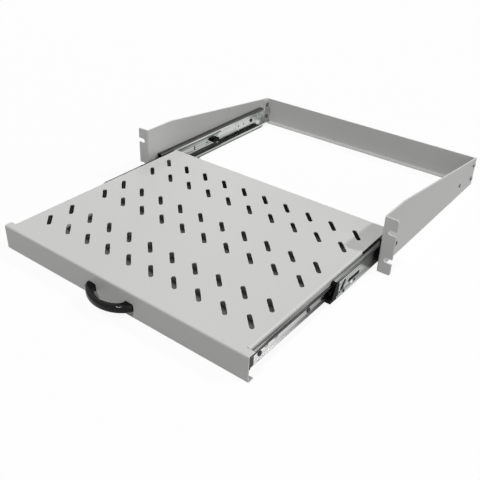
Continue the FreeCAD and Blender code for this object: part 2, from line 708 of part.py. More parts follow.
def tracks(side, distance, height, radius):
    """Draws the ball tracks above and below a slide's middle."""
    def draw_tracks(draw):
        for sign in (1, -1):
            draw.circle(across(side, distance), up(sign * height), radius)
    return draw_tracks


def build_outer_member(hand, side):
    """Outer slide member, screwed to the side plate, with curled lips and a rear stop."""
    body = new_body(f"{hand}_outer_slide")
    ends = (OUTER_FRONT, OUTER_REAR)
    ceiling = OUTER_TOP - S.slide_sheet
    section = mirrored(side, [
        (S.seat_gap, OUTER_TOP), (OUTER_LIP, OUTER_TOP), (OUTER_LIP, OUTER_CURL_END),
        (OUTER_CURL, OUTER_CURL_END), (OUTER_CURL, ceiling), (S.slide_sheet, ceiling),
    ])
    pad(body, f"{hand}_outer_section", "XZ", ends, lambda draw: draw.polygon(section))
    rounded(body, f"{hand}_outer_rounds", "Y",
            corners(side, (S.seat_gap, OUTER_TOP), (OUTER_LIP, OUTER_TOP)), S.slide_round)
    pocket(body, f"{hand}_outer_tracks", "XZ", ends,
           tracks(side, OUTER_BALL_ACROSS, OUTER_BALL_UP, OUTER_TRACK))
    pad(body, f"{hand}_rear_stop", "XZ", (OUTER_REAR - S.slide_sheet, OUTER_REAR),
        lambda draw: draw.rectangle(across(side, S.slide_sheet / 2), up(-S.rear_tab / 2),
                                    across(side, OUTER_CURL), up(S.rear_tab / 2)))
    boss = S.slide_screw_rear - S.boss_place
    pad(body, f"{hand}_outer_boss", "YZ",
        (across(side, S.slide_sheet / 2), across(side, S.slide_sheet + S.boss_height)),
        lambda draw: draw.long_ring(boss, S.slide_level, boss + S.boss_length, S.slide_level,
                                    S.boss_width / 2))

    def holes(draw):
        for y, way in zip(SLIDE_SCREWS_Y, (1, -1)):
            draw.ring(y, S.slide_level, SCREW_HOLE)
            for number in range(2):
                spare = y + way * (S.spare_hole + S.spare_pitch * number)
                draw.ring(spare, S.slide_level, S.screw_radius)

    pocket(body, f"{hand}_outer_holes", "YZ",
           (across(side, -S.overcut), across(side, S.slide_sheet + S.boss_height + S.overcut)), holes)


def build_middle_member(hand, side):
    """Middle slide member, which runs in the outer one and carries the inner one."""
    body = new_body(f"{hand}_middle_slide")
    ends = (MID_FRONT, MID_REAR)
    ceiling = MID_TOP - S.slide_sheet
    section = mirrored(side, [(MID_OUT, MID_TOP), (MID_LIP, MID_TOP), (MID_LIP, ceiling), (MID_IN, ceiling)])
    pad(body, f"{hand}_middle_section", "XZ", ends, lambda draw: draw.polygon(section))
    rounded(body, f"{hand}_middle_rounds", "Y", corners(side, (MID_OUT, MID_TOP)), S.slide_sheet)
    pocket(body, f"{hand}_middle_outer_tracks", "XZ", ends,
           tracks(side, OUTER_BALL_ACROSS, OUTER_BALL_UP, OUTER_TRACK))
    pocket(body, f"{hand}_middle_inner_tracks", "XZ", ends,
           tracks(side, INNER_BALL_ACROSS, INNER_BALL_UP, INNER_TRACK))

    def windows(draw):
        latch = MID_FRONT + S.latch_place
        draw.long_ring(latch, up(S.latch_rise * -0.4), latch + S.latch_rise / 2, up(S.latch_rise * 0.6),
                       S.latch_width / 2)
        draw.ring(MID_FRONT + S.latch_place / 2, up(-S.latch_rise / 2), S.rivet_radius)
        key = MID_FRONT + S.key_place
        draw.long_ring(key, up(S.key_width / 10), key + S.key_length, up(S.key_width / 3), S.key_width / 2)
        draw.ring(key + S.key_length / 4, up(S.key_width * -1.1), S.rivet_radius)
        mark = MID_REAR - S.mark_place
        draw.long_ring(mark, up(-S.mark_height / 2), mark, up(S.mark_height / 2), S.mark_width / 2)
        draw.ring(MID_REAR - S.mid_hole_place, S.slide_level, S.screw_radius)

    pocket(body, f"{hand}_middle_windows", "YZ",
           (across(side, MID_OUT - S.run_gap), across(side, MID_IN + S.run_gap)), windows)


def build_inner_member(hand, side):
    """Inner slide member, screwed to the tray's flange, open towards the bracket."""
    body = new_body(f"{hand}_inner_slide")
    ends = (INNER_FRONT, INNER_REAR)
    ceiling = INNER_TOP - S.slide_sheet
    section = mirrored(side, [
        (INNER_BACK, INNER_TOP), (INNER_LIP, INNER_TOP), (INNER_LIP, ceiling), (INNER_WEB, ceiling),
    ])
    pad(body, f"{hand}_inner_section", "XZ", ends, lambda draw: draw.polygon(section))
    pocket(body, f"{hand}_inner_tracks", "XZ", ends,
           tracks(side, INNER_BALL_ACROSS, INNER_BALL_UP, INNER_TRACK))

    def holes(draw):
        for y in INNER_SCREWS_Y:
            draw.ring(y, S.slide_level, SCREW_HOLE)
        draw.ring(LEVER_PIVOT_Y, S.slide_level, S.rivet_radius + S.seat_gap)
        level = up(S.inner_slot_up)
        for number in range(2):
            y = INNER_FRONT + S.inner_slot_front + S.inner_slot_pitch * number
            draw.long_ring(y - S.inner_slot_length / 2, level,
                           y + S.inner_slot_length / 2, level, S.inner_slot_width / 2)

    pocket(body, f"{hand}_inner_holes", "YZ",
           (across(side, INNER_WEB - S.run_gap), across(side, INNER_BACK + S.run_gap)), holes)


def cage(hand, side, name, front, length, web, reach, height, ball, ball_across):
    """Ball cage: a thin channel with a row of windows in each flange. Gives the balls' places along it."""
    body = new_body(f"{hand}_{name}_cage")
    near, far = across(side, web), across(side, reach)
    inside = across(side, web + S.cage_sheet)
    high, low = height + S.cage_sheet / 2, height - S.cage_sheet / 2
    pad(body, f"{hand}_{name}_cage_section", "XZ", (front, front + length), lambda draw: draw.polygon([
        (near, up(-high)), (far, up(-high)), (far, up(-low)), (inside, up(-low)),
        (inside, up(low)), (far, up(low)), (far, up(high)), (near, up(high)),
    ]))
    spacing = length / S.balls_in_row
    places = [front + spacing * (i + 0.5) for i in range(count(S.balls_in_row))]
    reach_out = ball / 2 + S.ball_play

    def windows(draw):
        for y in places:
            draw.rectangle(across(side, ball_across - reach_out), y - reach_out,
                           across(side, ball_across + reach_out), y + reach_out)

    pocket(body, f"{hand}_{name}_cage_windows", "XY", (up(-high * 2), up(high * 2)), windows)
    return places


def ball(name, diameter):
    """A ball with flats: what three eight-sided bars, crossing at its middle, have in common."""
    bars = []
    for number, axis in enumerate((X_AXIS, Y_AXIS, Z_AXIS), start=1):
        bar = doc.addObject("Part::Prism", f"{name}_bar{number}")
        bar.Polygon = 8
        bind(bar, "Circumradius", diameter / (2 * math.cos(math.pi / 8)))
        bind(bar, "Height", diameter)
        to_flat = FreeCAD.Rotation(Z_AXIS, 22.5)
        turn = FreeCAD.Rotation(Z_AXIS, axis).multiply(to_flat)
        bar.Placement = FreeCAD.Placement(axis * (-diameter.value / 2), turn)
        bars.append(bar)
    common = doc.addObject("Part::MultiCommon", name)
    common.Shapes = bars
    doc.recompute()
    return common


def build_cages(hand, side, outer_ball, inner_ball):
    """Both ball cages of a slide, with their balls."""
    outer_places = cage(
        hand, side, "outer", OUTER_FRONT + S.outer_cage_inset, S.outer_cage_length,
        OUTER_CAGE_IN, OUTER_CURL - S.run_gap, OUTER_BALL_UP, S.outer_ball, OUTER_BALL_ACROSS)
    inner_places = cage(
        hand, side, "inner", MID_FRONT + S.inner_cage_inset, S.inner_cage_length,
        INNER_CAGE_IN, MID_LIP - S.run_gap, INNER_BALL_UP, S.inner_ball, INNER_BALL_ACROSS)
    rows = [
        ("outer", outer_ball, outer_places, OUTER_BALL_ACROSS, OUTER_BALL_UP),
        ("inner", inner_ball, inner_places, INNER_BALL_ACROSS, INNER_BALL_UP),
    ]
    for name, master, places, distance, height in rows:
        group(f"{hand}_{name}_balls", master, [
            ((across(side, distance), y, up(sign * height)), X_AXIS) for sign in (1, -1) for y in places
        ])


def build_front_stop(hand, side):
    """Plastic front end of the middle member: a web with a tongue above and below the inner member."""
    body = new_body(f"{hand}_front_stop")
    front, rear = MID_FRONT - S.front_stop_length, MID_FRONT - S.seat_gap
    top = MID_TOP - S.slide_sheet
    tongue = INNER_TOP + S.run_gap
    section = mirrored(side, [(MID_OUT, top), (MID_LIP, top), (MID_LIP, tongue), (MID_IN, tongue)])
    pad(body, f"{hand}_front_stop_section", "XZ", (front, rear), lambda draw: draw.polygon(section))
    nose = front - S.overcut
    pocket(body, f"{hand}_front_stop_slope", "YZ",
           (across(side, MID_OUT - S.overcut), across(side, MID_LIP + S.overcut)),
           lambda draw: draw.polygon([
               (nose, up(-tongue)),
               (front + S.front_stop_length * 0.25, up(-tongue)),
               (front + S.front_stop_length * 0.85, up(MID_TOP)),
               (nose, up(MID_TOP)),
           ]))


def build_rear_bumper(hand, side):
    """Plastic bumper on the middle member's web, where the inner member stops when pushed in."""
    body = new_body(f"{hand}_rear_bumper")
    radius = S.bumper_height / 2
    pad(body, f"{hand}_rear_bumper_block", "YZ", (across(side, MID_IN + S.seat_gap), across(side, MID_LIP)),
        lambda draw: draw.long_ring(BUMPER_FRONT + radius, S.slide_level,
                                    BUMPER_FRONT + S.bumper_length - radius, S.slide_level, radius))


def build_inner_cap(hand, side):
    """Plastic cap between the front panel and the inner member, plugged into the member's channel."""
    body = new_body(f"{hand}_slide_cap")
    near = across(side, S.slide_thickness - S.cap_depth)
    rear = INNER_FRONT - S.seat_gap
    front = rear - S.cap_length
    pad(body, f"{hand}_slide_cap_block", "YZ", (near, across(side, INNER_BACK)), lambda draw: draw.polygon([
        (front, up(-S.cap_drop)), (rear, up(-S.cap_drop)), (rear, up(S.cap_rise - S.cap_length)),
        (front, up(S.cap_rise)),
    ]))
    top = INNER_TOP - S.slide_sheet - S.seat_gap
    pad(body, f"{hand}_slide_cap_plug", "XZ", (rear, rear + S.cap_plug), lambda draw: draw.rectangle(
        across(side, INNER_LIP), up(-top), across(side, INNER_WEB - S.seat_gap), up(top)))
    rounded(body, f"{hand}_slide_cap_corner", "X", [(front, up(-S.cap_drop))], S.slide_sheet)
    pocket(body, f"{hand}_slide_cap_hole", "YZ",
           (across(side, S.slide_thickness - S.cap_depth - S.overcut), across(side, INNER_BACK + S.overcut)),
           lambda draw: draw.ring(rear - S.cap_length / 2, up(-S.cap_drop / 2), S.cap_hole / 2))


def build_release_lever(hand, side):
    """Plastic lever in the inner member's channel, and the rivet that it turns on."""
    body = new_body(f"{hand}_release_lever")
    near = INNER_WEB - S.run_gap - S.lever_depth
    front = LEVER_REAR - S.lever_length
    waist = LEVER_PIVOT_Y - S.lever_pivot
    thick, thin = S.lever_height / 2, S.lever_tail / 2
    pad(body, f"{hand}_lever_blade", "YZ", (across(side, near), across(side, near + S.lever_depth)),
        lambda draw: draw.polygon([
            (front, up(-thin)), (waist, up(-thin)), (LEVER_PIVOT_Y, up(-thick)), (LEVER_REAR, up(-thick)),
            (LEVER_REAR, up(thin)), (LEVER_PIVOT_Y, up(thick)), (waist, up(thin)), (front, up(thin)),
        ]))
    rounded(body, f"{hand}_lever_finger_end", "X", [(front, up(thin)), (front, up(-thin))], S.lever_tail / 3)
    pocket(body, f"{hand}_lever_bore", "YZ",
           (across(side, near - S.overcut), across(side, near + S.lever_depth + S.overcut)),
           lambda draw: draw.circle(LEVER_PIVOT_Y, S.slide_level, S.rivet_radius + S.ball_play))
    length = INNER_BACK - near + S.run_gap
    head = S.slide_sheet / 2
    rivet = stacked(f"{hand}_rivet", [
        (ZERO, length, S.rivet_radius, FACETS, 0),
        (-head, ZERO, S.rivet_head, FACETS, 0),
    ])
    group(f"{hand}_lever_rivet", rivet, [
        ((across(side, near - S.run_gap), LEVER_PIVOT_Y, S.slide_level), X_AXIS * -side),
    ])


def pan_head_screw(name, length, head_height):
    """A pan-head screw along +X from under its head."""
    return stacked(name, [
        (ZERO, length, S.screw_radius, FACETS, 0),
        (-head_height, ZERO, S.screw_head, FACETS, 0),
    ])


def nut():
    """A hexagon nut along +X."""
    body = new_body("nut", handed_in=False)
    corner = S.nut_width / math.sqrt(3)
    points = [
        (corner * math.cos(math.radians(60 * i)), corner * math.sin(math.radians(60 * i))) for i in range(6)
    ]

    def draw_nut(draw):
        draw.polygon(points)
        draw.ring(ZERO, ZERO, S.screw_radius + S.seat_gap)

    pad(body, "nut_blank", "YZ", (ZERO, S.nut_height), draw_nut)
    return body


def build_fasteners():
    """Screws and nuts of the frame, the slides and the handle."""
    hands = list(SIDES.values())
    clamped = S.bracket_sheet + S.seat_gap + S.rear_sheet + S.nut_height
    rear = pan_head_screw("rear_screw", clamped + S.seat_gap * 2 + S.thread_end, S.head_height)
    group("rear_screws", rear, [
        ((side * (PLATE_OUTER + S.seat_gap), REAR_SCREW_Y, level), X_AXIS * -side)
        for side in hands for level in REAR_SCREW_LEVELS
    ])
    nut_face = PLATE_INNER - S.seat_gap * 2 - S.rear_sheet
    group("rear_nuts", nut(), [
        ((side * nut_face, REAR_SCREW_Y, level), X_AXIS * -side)
        for side in hands for level in REAR_SCREW_LEVELS
    ])
    through = S.slide_sheet + S.bracket_sheet + S.seat_gap + S.thread_end
    group("slide_screws", pan_head_screw("slide_screw", through, S.low_head), [
        ((across(side, S.slide_sheet + raised + S.seat_gap), y, S.slide_level), X_AXIS * side)
        for side in hands for y, raised in zip(SLIDE_SCREWS_Y, (ZERO, S.boss_height))
    ])
    length = S.slide_sheet + S.tray_sheet + S.seat_gap * 2 + S.thread_end
    inner = pan_head_screw("tray_screw", length, S.tray_head)
    group("tray_screws", inner, [
        ((across(side, INNER_WEB - S.seat_gap), y, S.slide_level), X_AXIS * -side)
        for side in hands for y in INNER_SCREWS_Y
    ])
    grip = pan_head_screw("handle_screw", S.tray_sheet + S.handle_screw_depth, S.head_height)
    group("handle_screws", grip, [
        ((x, FRONT_BACK + S.seat_gap, S.handle_level), -Y_AXIS) for x in HANDLE_SCREWS_X
    ])


def check_all():
    """Stops if any object failed or any sub-part isn't a sound solid."""
    doc.recompute()
    failed = [o.Name for o in doc.Objects if "Invalid" in o.State or "Error" in o.State]
    if failed:
        raise RuntimeError(f"failed objects: {failed}")
    for node in nodes:
        if node.Shape.isNull() or not node.Shape.isValid() or not node.Shape.Solids:
            raise RuntimeError(f"{node.Label} has no sound shape")


def write_parts():
    """Writes each sub-part to its own file."""
    os.makedirs("parts", exist_ok=True)
    for node in nodes:
        node.Shape.exportStep(f"parts/{node.Label}.step")


def main():
    build_rear_panel()
    build_tray()
    build_handle()
    outer_ball = ball("outer_ball_blank", S.outer_ball)
    inner_ball = ball("inner_ball_blank", S.inner_ball)
    for hand, side in SIDES.items():
        build_bracket(hand, side)
        build_outer_member(hand, side)
        build_middle_member(hand, side)
        build_inner_member(hand, side)
        build_cages(hand, side, outer_ball, inner_ball)
        build_front_stop(hand, side)
        build_rear_bumper(hand, side)
        build_inner_cap(hand, side)
        build_release_lever(hand, side)
    build_fasteners()
    check_all()
    write_parts()


main()
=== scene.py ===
"""Looks of a sliding rack shelf.

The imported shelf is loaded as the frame. Its sheet metal, slides and plastics get their finishes
here, the turned and moulded small parts are modelled in full, and a plain studio with the
photograph's camera is set up round it. Lengths are in metres unless a name says otherwise.
"""
import json
import logging
import math
from collections.abc import Callable, Iterable
from dataclasses import dataclass
from enum import Enum

import bmesh
import bpy
from mathutils import Matrix, Vector

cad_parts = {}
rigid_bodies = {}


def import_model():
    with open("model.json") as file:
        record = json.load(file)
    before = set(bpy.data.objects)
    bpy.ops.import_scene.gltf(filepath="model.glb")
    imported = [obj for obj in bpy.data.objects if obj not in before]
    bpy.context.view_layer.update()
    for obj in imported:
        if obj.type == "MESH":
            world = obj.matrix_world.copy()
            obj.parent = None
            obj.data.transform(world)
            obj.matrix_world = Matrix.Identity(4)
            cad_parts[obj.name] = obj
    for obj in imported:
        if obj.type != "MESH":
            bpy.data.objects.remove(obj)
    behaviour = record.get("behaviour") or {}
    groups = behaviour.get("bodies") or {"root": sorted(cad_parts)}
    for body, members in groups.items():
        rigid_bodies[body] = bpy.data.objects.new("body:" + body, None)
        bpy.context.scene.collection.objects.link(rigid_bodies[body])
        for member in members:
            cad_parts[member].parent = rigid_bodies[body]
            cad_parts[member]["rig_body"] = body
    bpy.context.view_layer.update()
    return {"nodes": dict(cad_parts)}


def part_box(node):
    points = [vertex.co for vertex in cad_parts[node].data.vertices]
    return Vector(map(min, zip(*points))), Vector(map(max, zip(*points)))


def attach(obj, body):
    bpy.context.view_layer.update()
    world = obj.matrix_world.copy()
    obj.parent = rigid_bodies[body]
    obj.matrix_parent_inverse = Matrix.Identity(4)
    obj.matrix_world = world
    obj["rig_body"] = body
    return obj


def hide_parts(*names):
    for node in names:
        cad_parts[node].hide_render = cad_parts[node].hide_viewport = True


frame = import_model()
LOG = logging.getLogger("rack_shelf")
RGB = tuple[float, float, float]
Place = tuple[float, float, float]
Pairs = tuple[tuple[float, float], ...]
Member = bmesh.types.BMVert | bmesh.types.BMEdge | bmesh.types.BMFace

# Sizes and places that several pieces share
MM = 0.001
HANDS = {"left": -1, "right": 1}
PLATE_INNER = 220.4 * MM
PLATE_OUTER = PLATE_INNER + 2.0 * MM
SLIDE_LEVEL = 20.7 * MM
SLIDE_SCREWS_ALONG = (50.5 * MM, 289.0 * MM)
HANDLE_LEVEL = 16.8 * MM

# How meshes are made
TINY = 0.001 * MM
MERGE_DISTANCE = 0.005 * MM
ROUND_SIDES = 32

# How shaders are made; a stripe is full up to STRIPE_CORE - 1 of its half width
WHITE = (1.0, 1.0, 1.0)
BLACK = (0.0, 0.0, 0.0)
NOISE_MIDDLE = 0.5
STRIPE_CORE = 1.6
EDGE_SAMPLES = 4

# The Mix node's sockets where it mixes colours
MIX_SHARE, MIX_UNDER, MIX_OVER, MIX_RESULT = 0, 6, 7, 2


class Slot(Enum):
    """The record's material slots."""

    PAINT = "shelf_paint"
    ZINC = "slide_zinc"
    CAGE = "cage_steel"
    FASTENER = "fastener_steel"
    BALL = "ball_steel"
    HANDLE = "handle_plastic"
    SLIDE_PLASTIC = "slide_plastic"


class Signal:
    """An output socket. Arithmetic on it adds Math nodes to its tree."""

    def __init__(self, nodes: "Nodes", socket: bpy.types.NodeSocket | None) -> None:
        """Wraps a socket of a tree."""
        self.nodes = nodes
        self.socket = socket

    def math(self, operation: str, *values: "Signal | float") -> "Signal":
        """Adds a Math node.

        Args:
            operation: The node's operation.
            values: What goes into its sockets, in order.

        Returns:
            The node's result.
        """
        return self.nodes.add("ShaderNodeMath", {"operation": operation}, dict(enumerate(values)))

    def __add__(self, other: "Signal | float") -> "Signal":
        """This plus another value."""
        return self.math("ADD", self, other)

    def __radd__(self, other: float) -> "Signal":
        """A number plus this."""
        return self.math("ADD", other, self)

    def __sub__(self, other: "Signal | float") -> "Signal":
        """This minus another value."""
        return self.math("SUBTRACT", self, other)

    def __rsub__(self, other: float) -> "Signal":
        """A number minus this."""
        return self.math("SUBTRACT", other, self)

    def __mul__(self, other: "Signal | float") -> "Signal":
        """This times another value."""
        return self.math("MULTIPLY", self, other)

    def __rmul__(self, other: float) -> "Signal":
        """A number times this."""
        return self.math("MULTIPLY", other, self)

    def __abs__(self) -> "Signal":
        """This without its sign."""
        return self.math("ABSOLUTE", self)

    def clamped(self) -> "Signal":
        """This, held between 0 and 1."""
        return self.math("MINIMUM", self.math("MAXIMUM", self, 0.0), 1.0)

    def larger(self, other: "Signal | float") -> "Signal":
        """The larger of this and another value."""
        return self.math("MAXIMUM", self, other)

    def swing(self, amount: float) -> "Signal":
        """Noise turned into a swing about 0, by half the amount either way."""
        return (self - NOISE_MIDDLE) * amount

    def rise(self, start: float, full: float) -> "Signal":
        """A straight rise from 0 at one value to 1 at another, level outside them."""
        return ((self - start) * (1 / (full - start))).clamped()


@dataclass(frozen=True)
class Grain:
    """A noise in a finish.

    It has its waves in a metre, its octaves, how strong they are, and its scale along Y. Tone and
    roughness say how far it moves those of the finish.
    """

    waves: float
    octaves: float = 2.0
    octave_share: float = 0.5
    stretch: float = 1.0
    tone: float = 0.0
    roughness: float = 0.0


class Nodes:
    """A node tree that is filled through one method."""

    def __init__(self, tree: bpy.types.NodeTree) -> None:
        """Empties the tree and keeps it."""
        tree.nodes.clear()
        self.tree = tree

    def add(
        self,
        kind: str,
        settings: dict[str, object] | None = None,
        inputs: dict[int | str, "Signal | float | tuple"] | None = None,
        output: int | str = 0,
    ) -> Signal:
        """Adds a node.

        Args:
            kind: The node's type.
            settings: Its own settings, which are set first; "stops" are a ramp's.
            inputs: Values or links of its sockets.
            output: The output that is wanted.

        Returns:
            That output.
        """
        node = self.tree.nodes.new(kind)
        for name, value in (settings or {}).items():
            if name == "stops":
                self.set_stops(node.color_ramp, value)
            else:
                setattr(node, name, value)
        for key, value in (inputs or {}).items():
            if isinstance(value, Signal):
                self.tree.links.new(value.socket, node.inputs[key])
            else:
                node.inputs[key].default_value = value
        return Signal(self, node.outputs[output] if len(node.outputs) else None)

    @staticmethod
    def set_stops(ramp: bpy.types.ColorRamp, stops: Iterable[tuple[float, float]]) -> None:
        """Sets a ramp's stops.

        Args:
            ramp: The ramp.
            stops: Place and grey value of each stop.
        """
        wanted = list(stops)
        while len(ramp.elements) < len(wanted):
            ramp.elements.new(1.0)
        for element, (place, grey) in zip(ramp.elements, wanted):
            element.position = place
            element.color = (grey, grey, grey, 1.0)

    def place(self) -> Signal:
        """Object coordinates, in metres."""
        return self.add("ShaderNodeTexCoord", output="Object")

    def axis(self, place: Signal, name: str) -> Signal:
        """One coordinate, by its axis's letter."""
        return self.add("ShaderNodeSeparateXYZ", None, {"Vector": place}, name)

    def grain(self, place: Signal, kind: Grain) -> Signal:
        """Soft noise from 0 to 1.

        Args:
            place: Coordinates.
            kind: What the noise is like.

        Returns:
            The noise.
        """
        if kind.stretch != 1.0:
            inputs = {"Vector": place, "Scale": (1.0, kind.stretch, 1.0)}
            place = self.add("ShaderNodeMapping", {"vector_type": "POINT"}, inputs)
        inputs = {"Vector": place, "Scale": kind.waves, "Detail": kind.octaves}
        inputs["Roughness"] = kind.octave_share
        return self.add("ShaderNodeTexNoise", {"noise_dimensions": "3D"}, inputs, "Fac")

    def ramp(self, value: Signal, *stops: tuple[float, float]) -> Signal:
        """A value through a ramp of greys, as a number."""
        return self.add("ShaderNodeValToRGB", {"stops": stops}, {"Fac": value}) * 1.0

    def stripe(self, place: Signal, level: float, half: float) -> Signal:
        """1 near a level, fading to 0 above and below it."""
        return (STRIPE_CORE - abs(self.axis(place, "Z") - level) * (1 / half)).clamped()

    def mixed(self, share: Signal, under: Signal | RGB, over: RGB) -> Signal:
        """A colour with another one laid over it.

        Args:
            share: How much of the upper one.
            under: Lower colour, which may vary.
            over: Upper colour.

        Returns:
            The mixed colour.
        """
        settings = {"data_type": "RGBA", "clamp_factor": True}
        lower = under if isinstance(under, Signal) else (*under, 1.0)
        inputs = {MIX_SHARE: share, MIX_UNDER: lower, MIX_OVER: (*over, 1.0)}
        return self.add("ShaderNodeMix", settings, inputs, MIX_RESULT)

    def toned(self, tone: Signal, colour: RGB, shades: tuple[float, float]) -> Signal:
        """A colour that varies from a dark shade of itself to a pale one."""
        dark, pale = shades
        return self.mixed(tone, scaled(colour, dark), scaled(colour, pale))

    def laid(self, share: Signal | float, under: Signal, over: Signal) -> Signal:
        """A shader with another one laid over it."""
        return self.add("ShaderNodeMixShader", None, {0: share, 1: under, 2: over})

    def bumped(
        self, height: Signal, distance: float, strength: float, normal: Signal | None = None
    ) -> Signal:
        """A surface normal with relief.

        Args:
            height: Relief from 0 to 1.
            distance: Its depth.
            strength: Its share.
            normal: The normal under it.

        Returns:
            The normal.
        """
        inputs = {"Strength": strength, "Distance": distance, "Height": height}
        if normal is not None:
            inputs["Normal"] = normal
        return self.add("ShaderNodeBump", None, inputs)

    def soft_edges(self, radius: float) -> Signal:
        """The normal with sharp edges rounded off."""
        return self.add("ShaderNodeBevel", {"samples": EDGE_SAMPLES}, {"Radius": radius})

    def sharp_edge_mask(self, radius: float, steepness: float) -> Signal:
        """1 along sharp edges, falling to 0 at a distance from them.

        Args:
            radius: The distance.
            steepness: How fast the mask rises.

        Returns:
            The mask.
        """
        normals = {0: self.add("ShaderNodeNewGeometry", output="Normal"), 1: self.soft_edges(radius)}
        same = self.add("ShaderNodeVectorMath", {"operation": "DOT_PRODUCT"}, normals, "Value")
        return ((1.0 - same) * steepness).clamped()

    def seen(self) -> Signal:
        """Tells the rays that the picture shows from those that only carry light.

        Returns:
            1 for rays of the camera, of reflections and of glass, else 0.
        """
        kinds = ("Is Camera Ray", "Is Glossy Ray", "Is Transmission Ray")
        camera, glossy, through = (self.add("ShaderNodeLightPath", output=kind) for kind in kinds)
        return camera.larger(glossy).larger(through)


def scaled(colour: RGB, share: float) -> RGB:
    """A colour made darker or lighter."""
    return tuple(min(1.0, channel * share) for channel in colour)


class Mark:
    """Streaks and painted shade on a finish. Each kind says where it lies, how dark it is and how far it
    dulls.
    """

    shade: float
    dulling: float = 0.0

    def share(self, nodes: Nodes, place: Signal, rub: Signal) -> Signal:
        """How much of the surface the mark covers.

        Args:
            nodes: The material's nodes.
            place: The point on the surface.
            rub: Noise that is drawn out along the piece.

        Returns:
            Its share, from 0 to 1.
        """
        raise NotImplementedError


@dataclass(frozen=True)
class FlangeShade(Mark):
    """Painted shade along the tray's side flanges, just above the slides, thinning out to the back."""

    amount: float = 0.84
    uneven: float = 0.3
    level: float = 32.2 * MM
    half: float = 2.0 * MM
    inside: float = 206.8 * MM
    inside_fade: float = 0.25 * MM
    front: float = -284.0 * MM
    front_fade: float = 2.5 * MM
    thick_end: float = -225.0 * MM
    thin_start: float = -145.0 * MM
    thin_share: float = 0.18
    shade: float = 0.12

    def share(self, nodes: Nodes, place: Signal, rub: Signal) -> Signal:
        """How much of the flange the painted shade covers.

        Args:
            nodes: The material's nodes.
            place: The point on the sheet.
            rub: Long rub marks.

        Returns:
            Its share, from 0 to 1.
        """
        along = nodes.axis(place, "Y")
        side = abs(nodes.axis(place, "X")).rise(self.inside, self.inside + self.inside_fade)
        band = nodes.stripe(place, self.level, self.half)
        thick = along.rise(self.thin_start, self.thick_end)
        fade = self.thin_share + thick * (1.0 - self.thin_share)
        start = along.rise(self.front, self.front + self.front_fade)
        return side * band * fade * start * (self.amount + rub.swing(self.uneven))


@dataclass(frozen=True)
class Streaks(Mark):
    """Dark streaks along a strip."""

    amount: float
    edges: Pairs = ((0.43, 1.0), (0.53, 0.0))
    shade: float = 0.22

    def share(self, nodes: Nodes, place: Signal, rub: Signal) -> Signal:
        """How much of the strip the streaks cover."""
        return nodes.ramp(rub, *self.edges) * self.amount


@dataclass(frozen=True)
class ShadeLine(Mark):
    """A painted line of shade along a strip, at one level."""

    level: float
    half: float
    depth: float
    uneven: float = 0.8
    shade: float = 0.15

    def share(self, nodes: Nodes, place: Signal, rub: Signal) -> Signal:
        """How much of the strip the line covers."""
        return nodes.stripe(place, self.level, self.half) * (self.depth + rub.swing(self.uneven))


@dataclass(frozen=True)
class PaintedShadeSpan(Mark):
    """Painted shade that starts, is full, thins out and ends at places along a strip."""

    start: float
    full: float
    thin: float
    end: float
    amount: float = 0.92
    uneven: float = 0.4
    shade: float = 0.08

    def share(self, nodes: Nodes, place: Signal, rub: Signal) -> Signal:
        """How much of the strip the painted shade covers.

        Args:
            nodes: The material's nodes.
            place: The point on the strip.
            rub: Smears along the strip.

        Returns:
            Its share, from 0 to 1.
        """
        along = nodes.axis(place, "Y")
        span_shade = along.rise(self.start, self.full) * along.rise(self.end, self.thin)
        return span_shade * (self.amount + rub.swing(self.uneven))


@dataclass(frozen=True)
class BallTrackShadeAndGrease(Mark):
    """Painted shade along the ball tracks, which lie at one distance above and below a level; the tracks
    are also greasy and dull.
    """

    offset: float
    spread: float
    level: float = SLIDE_LEVEL
    uneven: float = 0.5
    core: float = 1.35
    steepness: float = 2.5
    amount: float = 0.93
    shade: float = 0.07
    dulling: float = 0.129

    def share(self, nodes: Nodes, place: Signal, rub: Signal) -> Signal:
        """How much of the strip the painted shade covers, and how greasy it is.

        Args:
            nodes: The material's nodes.
            place: The point on the strip.
            rub: Smears along the strip.

        Returns:
            Its share, from 0 to 1.
        """
        # Painted shade, darkest at the tracks; the same share dulls the gloss
        away = abs(abs(nodes.axis(place, "Z") - self.level) - self.offset) * (1 / self.spread)
        greasy_shade = (self.core + rub.swing(self.uneven) - away) * self.steepness
        return greasy_shade.clamped() * self.amount


@dataclass(frozen=True)
class Finish:
    """A surface finish; a kind of finish says what its shader's sockets get."""

    name: str
    slot: Slot | None

    def sockets(self, nodes: Nodes) -> dict[str, "Signal | float | tuple"]:
        """The values and links of the shader's sockets."""
        raise NotImplementedError

    def material(self) -> bpy.types.Material:
        """Makes the finish's material, once.

        Returns:
            The material.
        """
        known = bpy.data.materials.get(self.name)
        if known is not None:
            return known
        made = bpy.data.materials.new(self.name)
        made.use_nodes = True
        nodes = Nodes(made.node_tree)
        shader = nodes.add("ShaderNodeBsdfPrincipled", None, self.sockets(nodes))
        nodes.add("ShaderNodeOutputMaterial", None, {"Surface": shader})
        return made

    def dress(self, thing: bpy.types.Object) -> None:
        """Gives an object this finish alone."""
        thing.data.materials.clear()
        thing.data.materials.append(self.material())


@dataclass(frozen=True)
class MarkedFinish(Finish):
    """A finish with streaks and painted shade on it."""

    colour: RGB
    marks: tuple[Mark, ...] = ()

    def marked(
        self, nodes: Nodes, place: Signal, rub: Signal, colour: Signal, rough: Signal
    ) -> tuple[Signal, Signal]:
        """Lays the streaks and the painted shade over a clean surface.

        Args:
            nodes: The material's nodes.
            place: The point on the surface.
            rub: Noise that is drawn out along the piece.
            colour: The clean colour.
            rough: The clean roughness.

        Returns:
            The colour and the roughness with the marks.
        """
        for mark in self.marks:
            share = mark.share(nodes, place, rub)
            colour = nodes.mixed(share, colour, scaled(self.colour, mark.shade))
            if mark.dulling > 0.0:
                rough = rough + share * mark.dulling
        return colour, rough


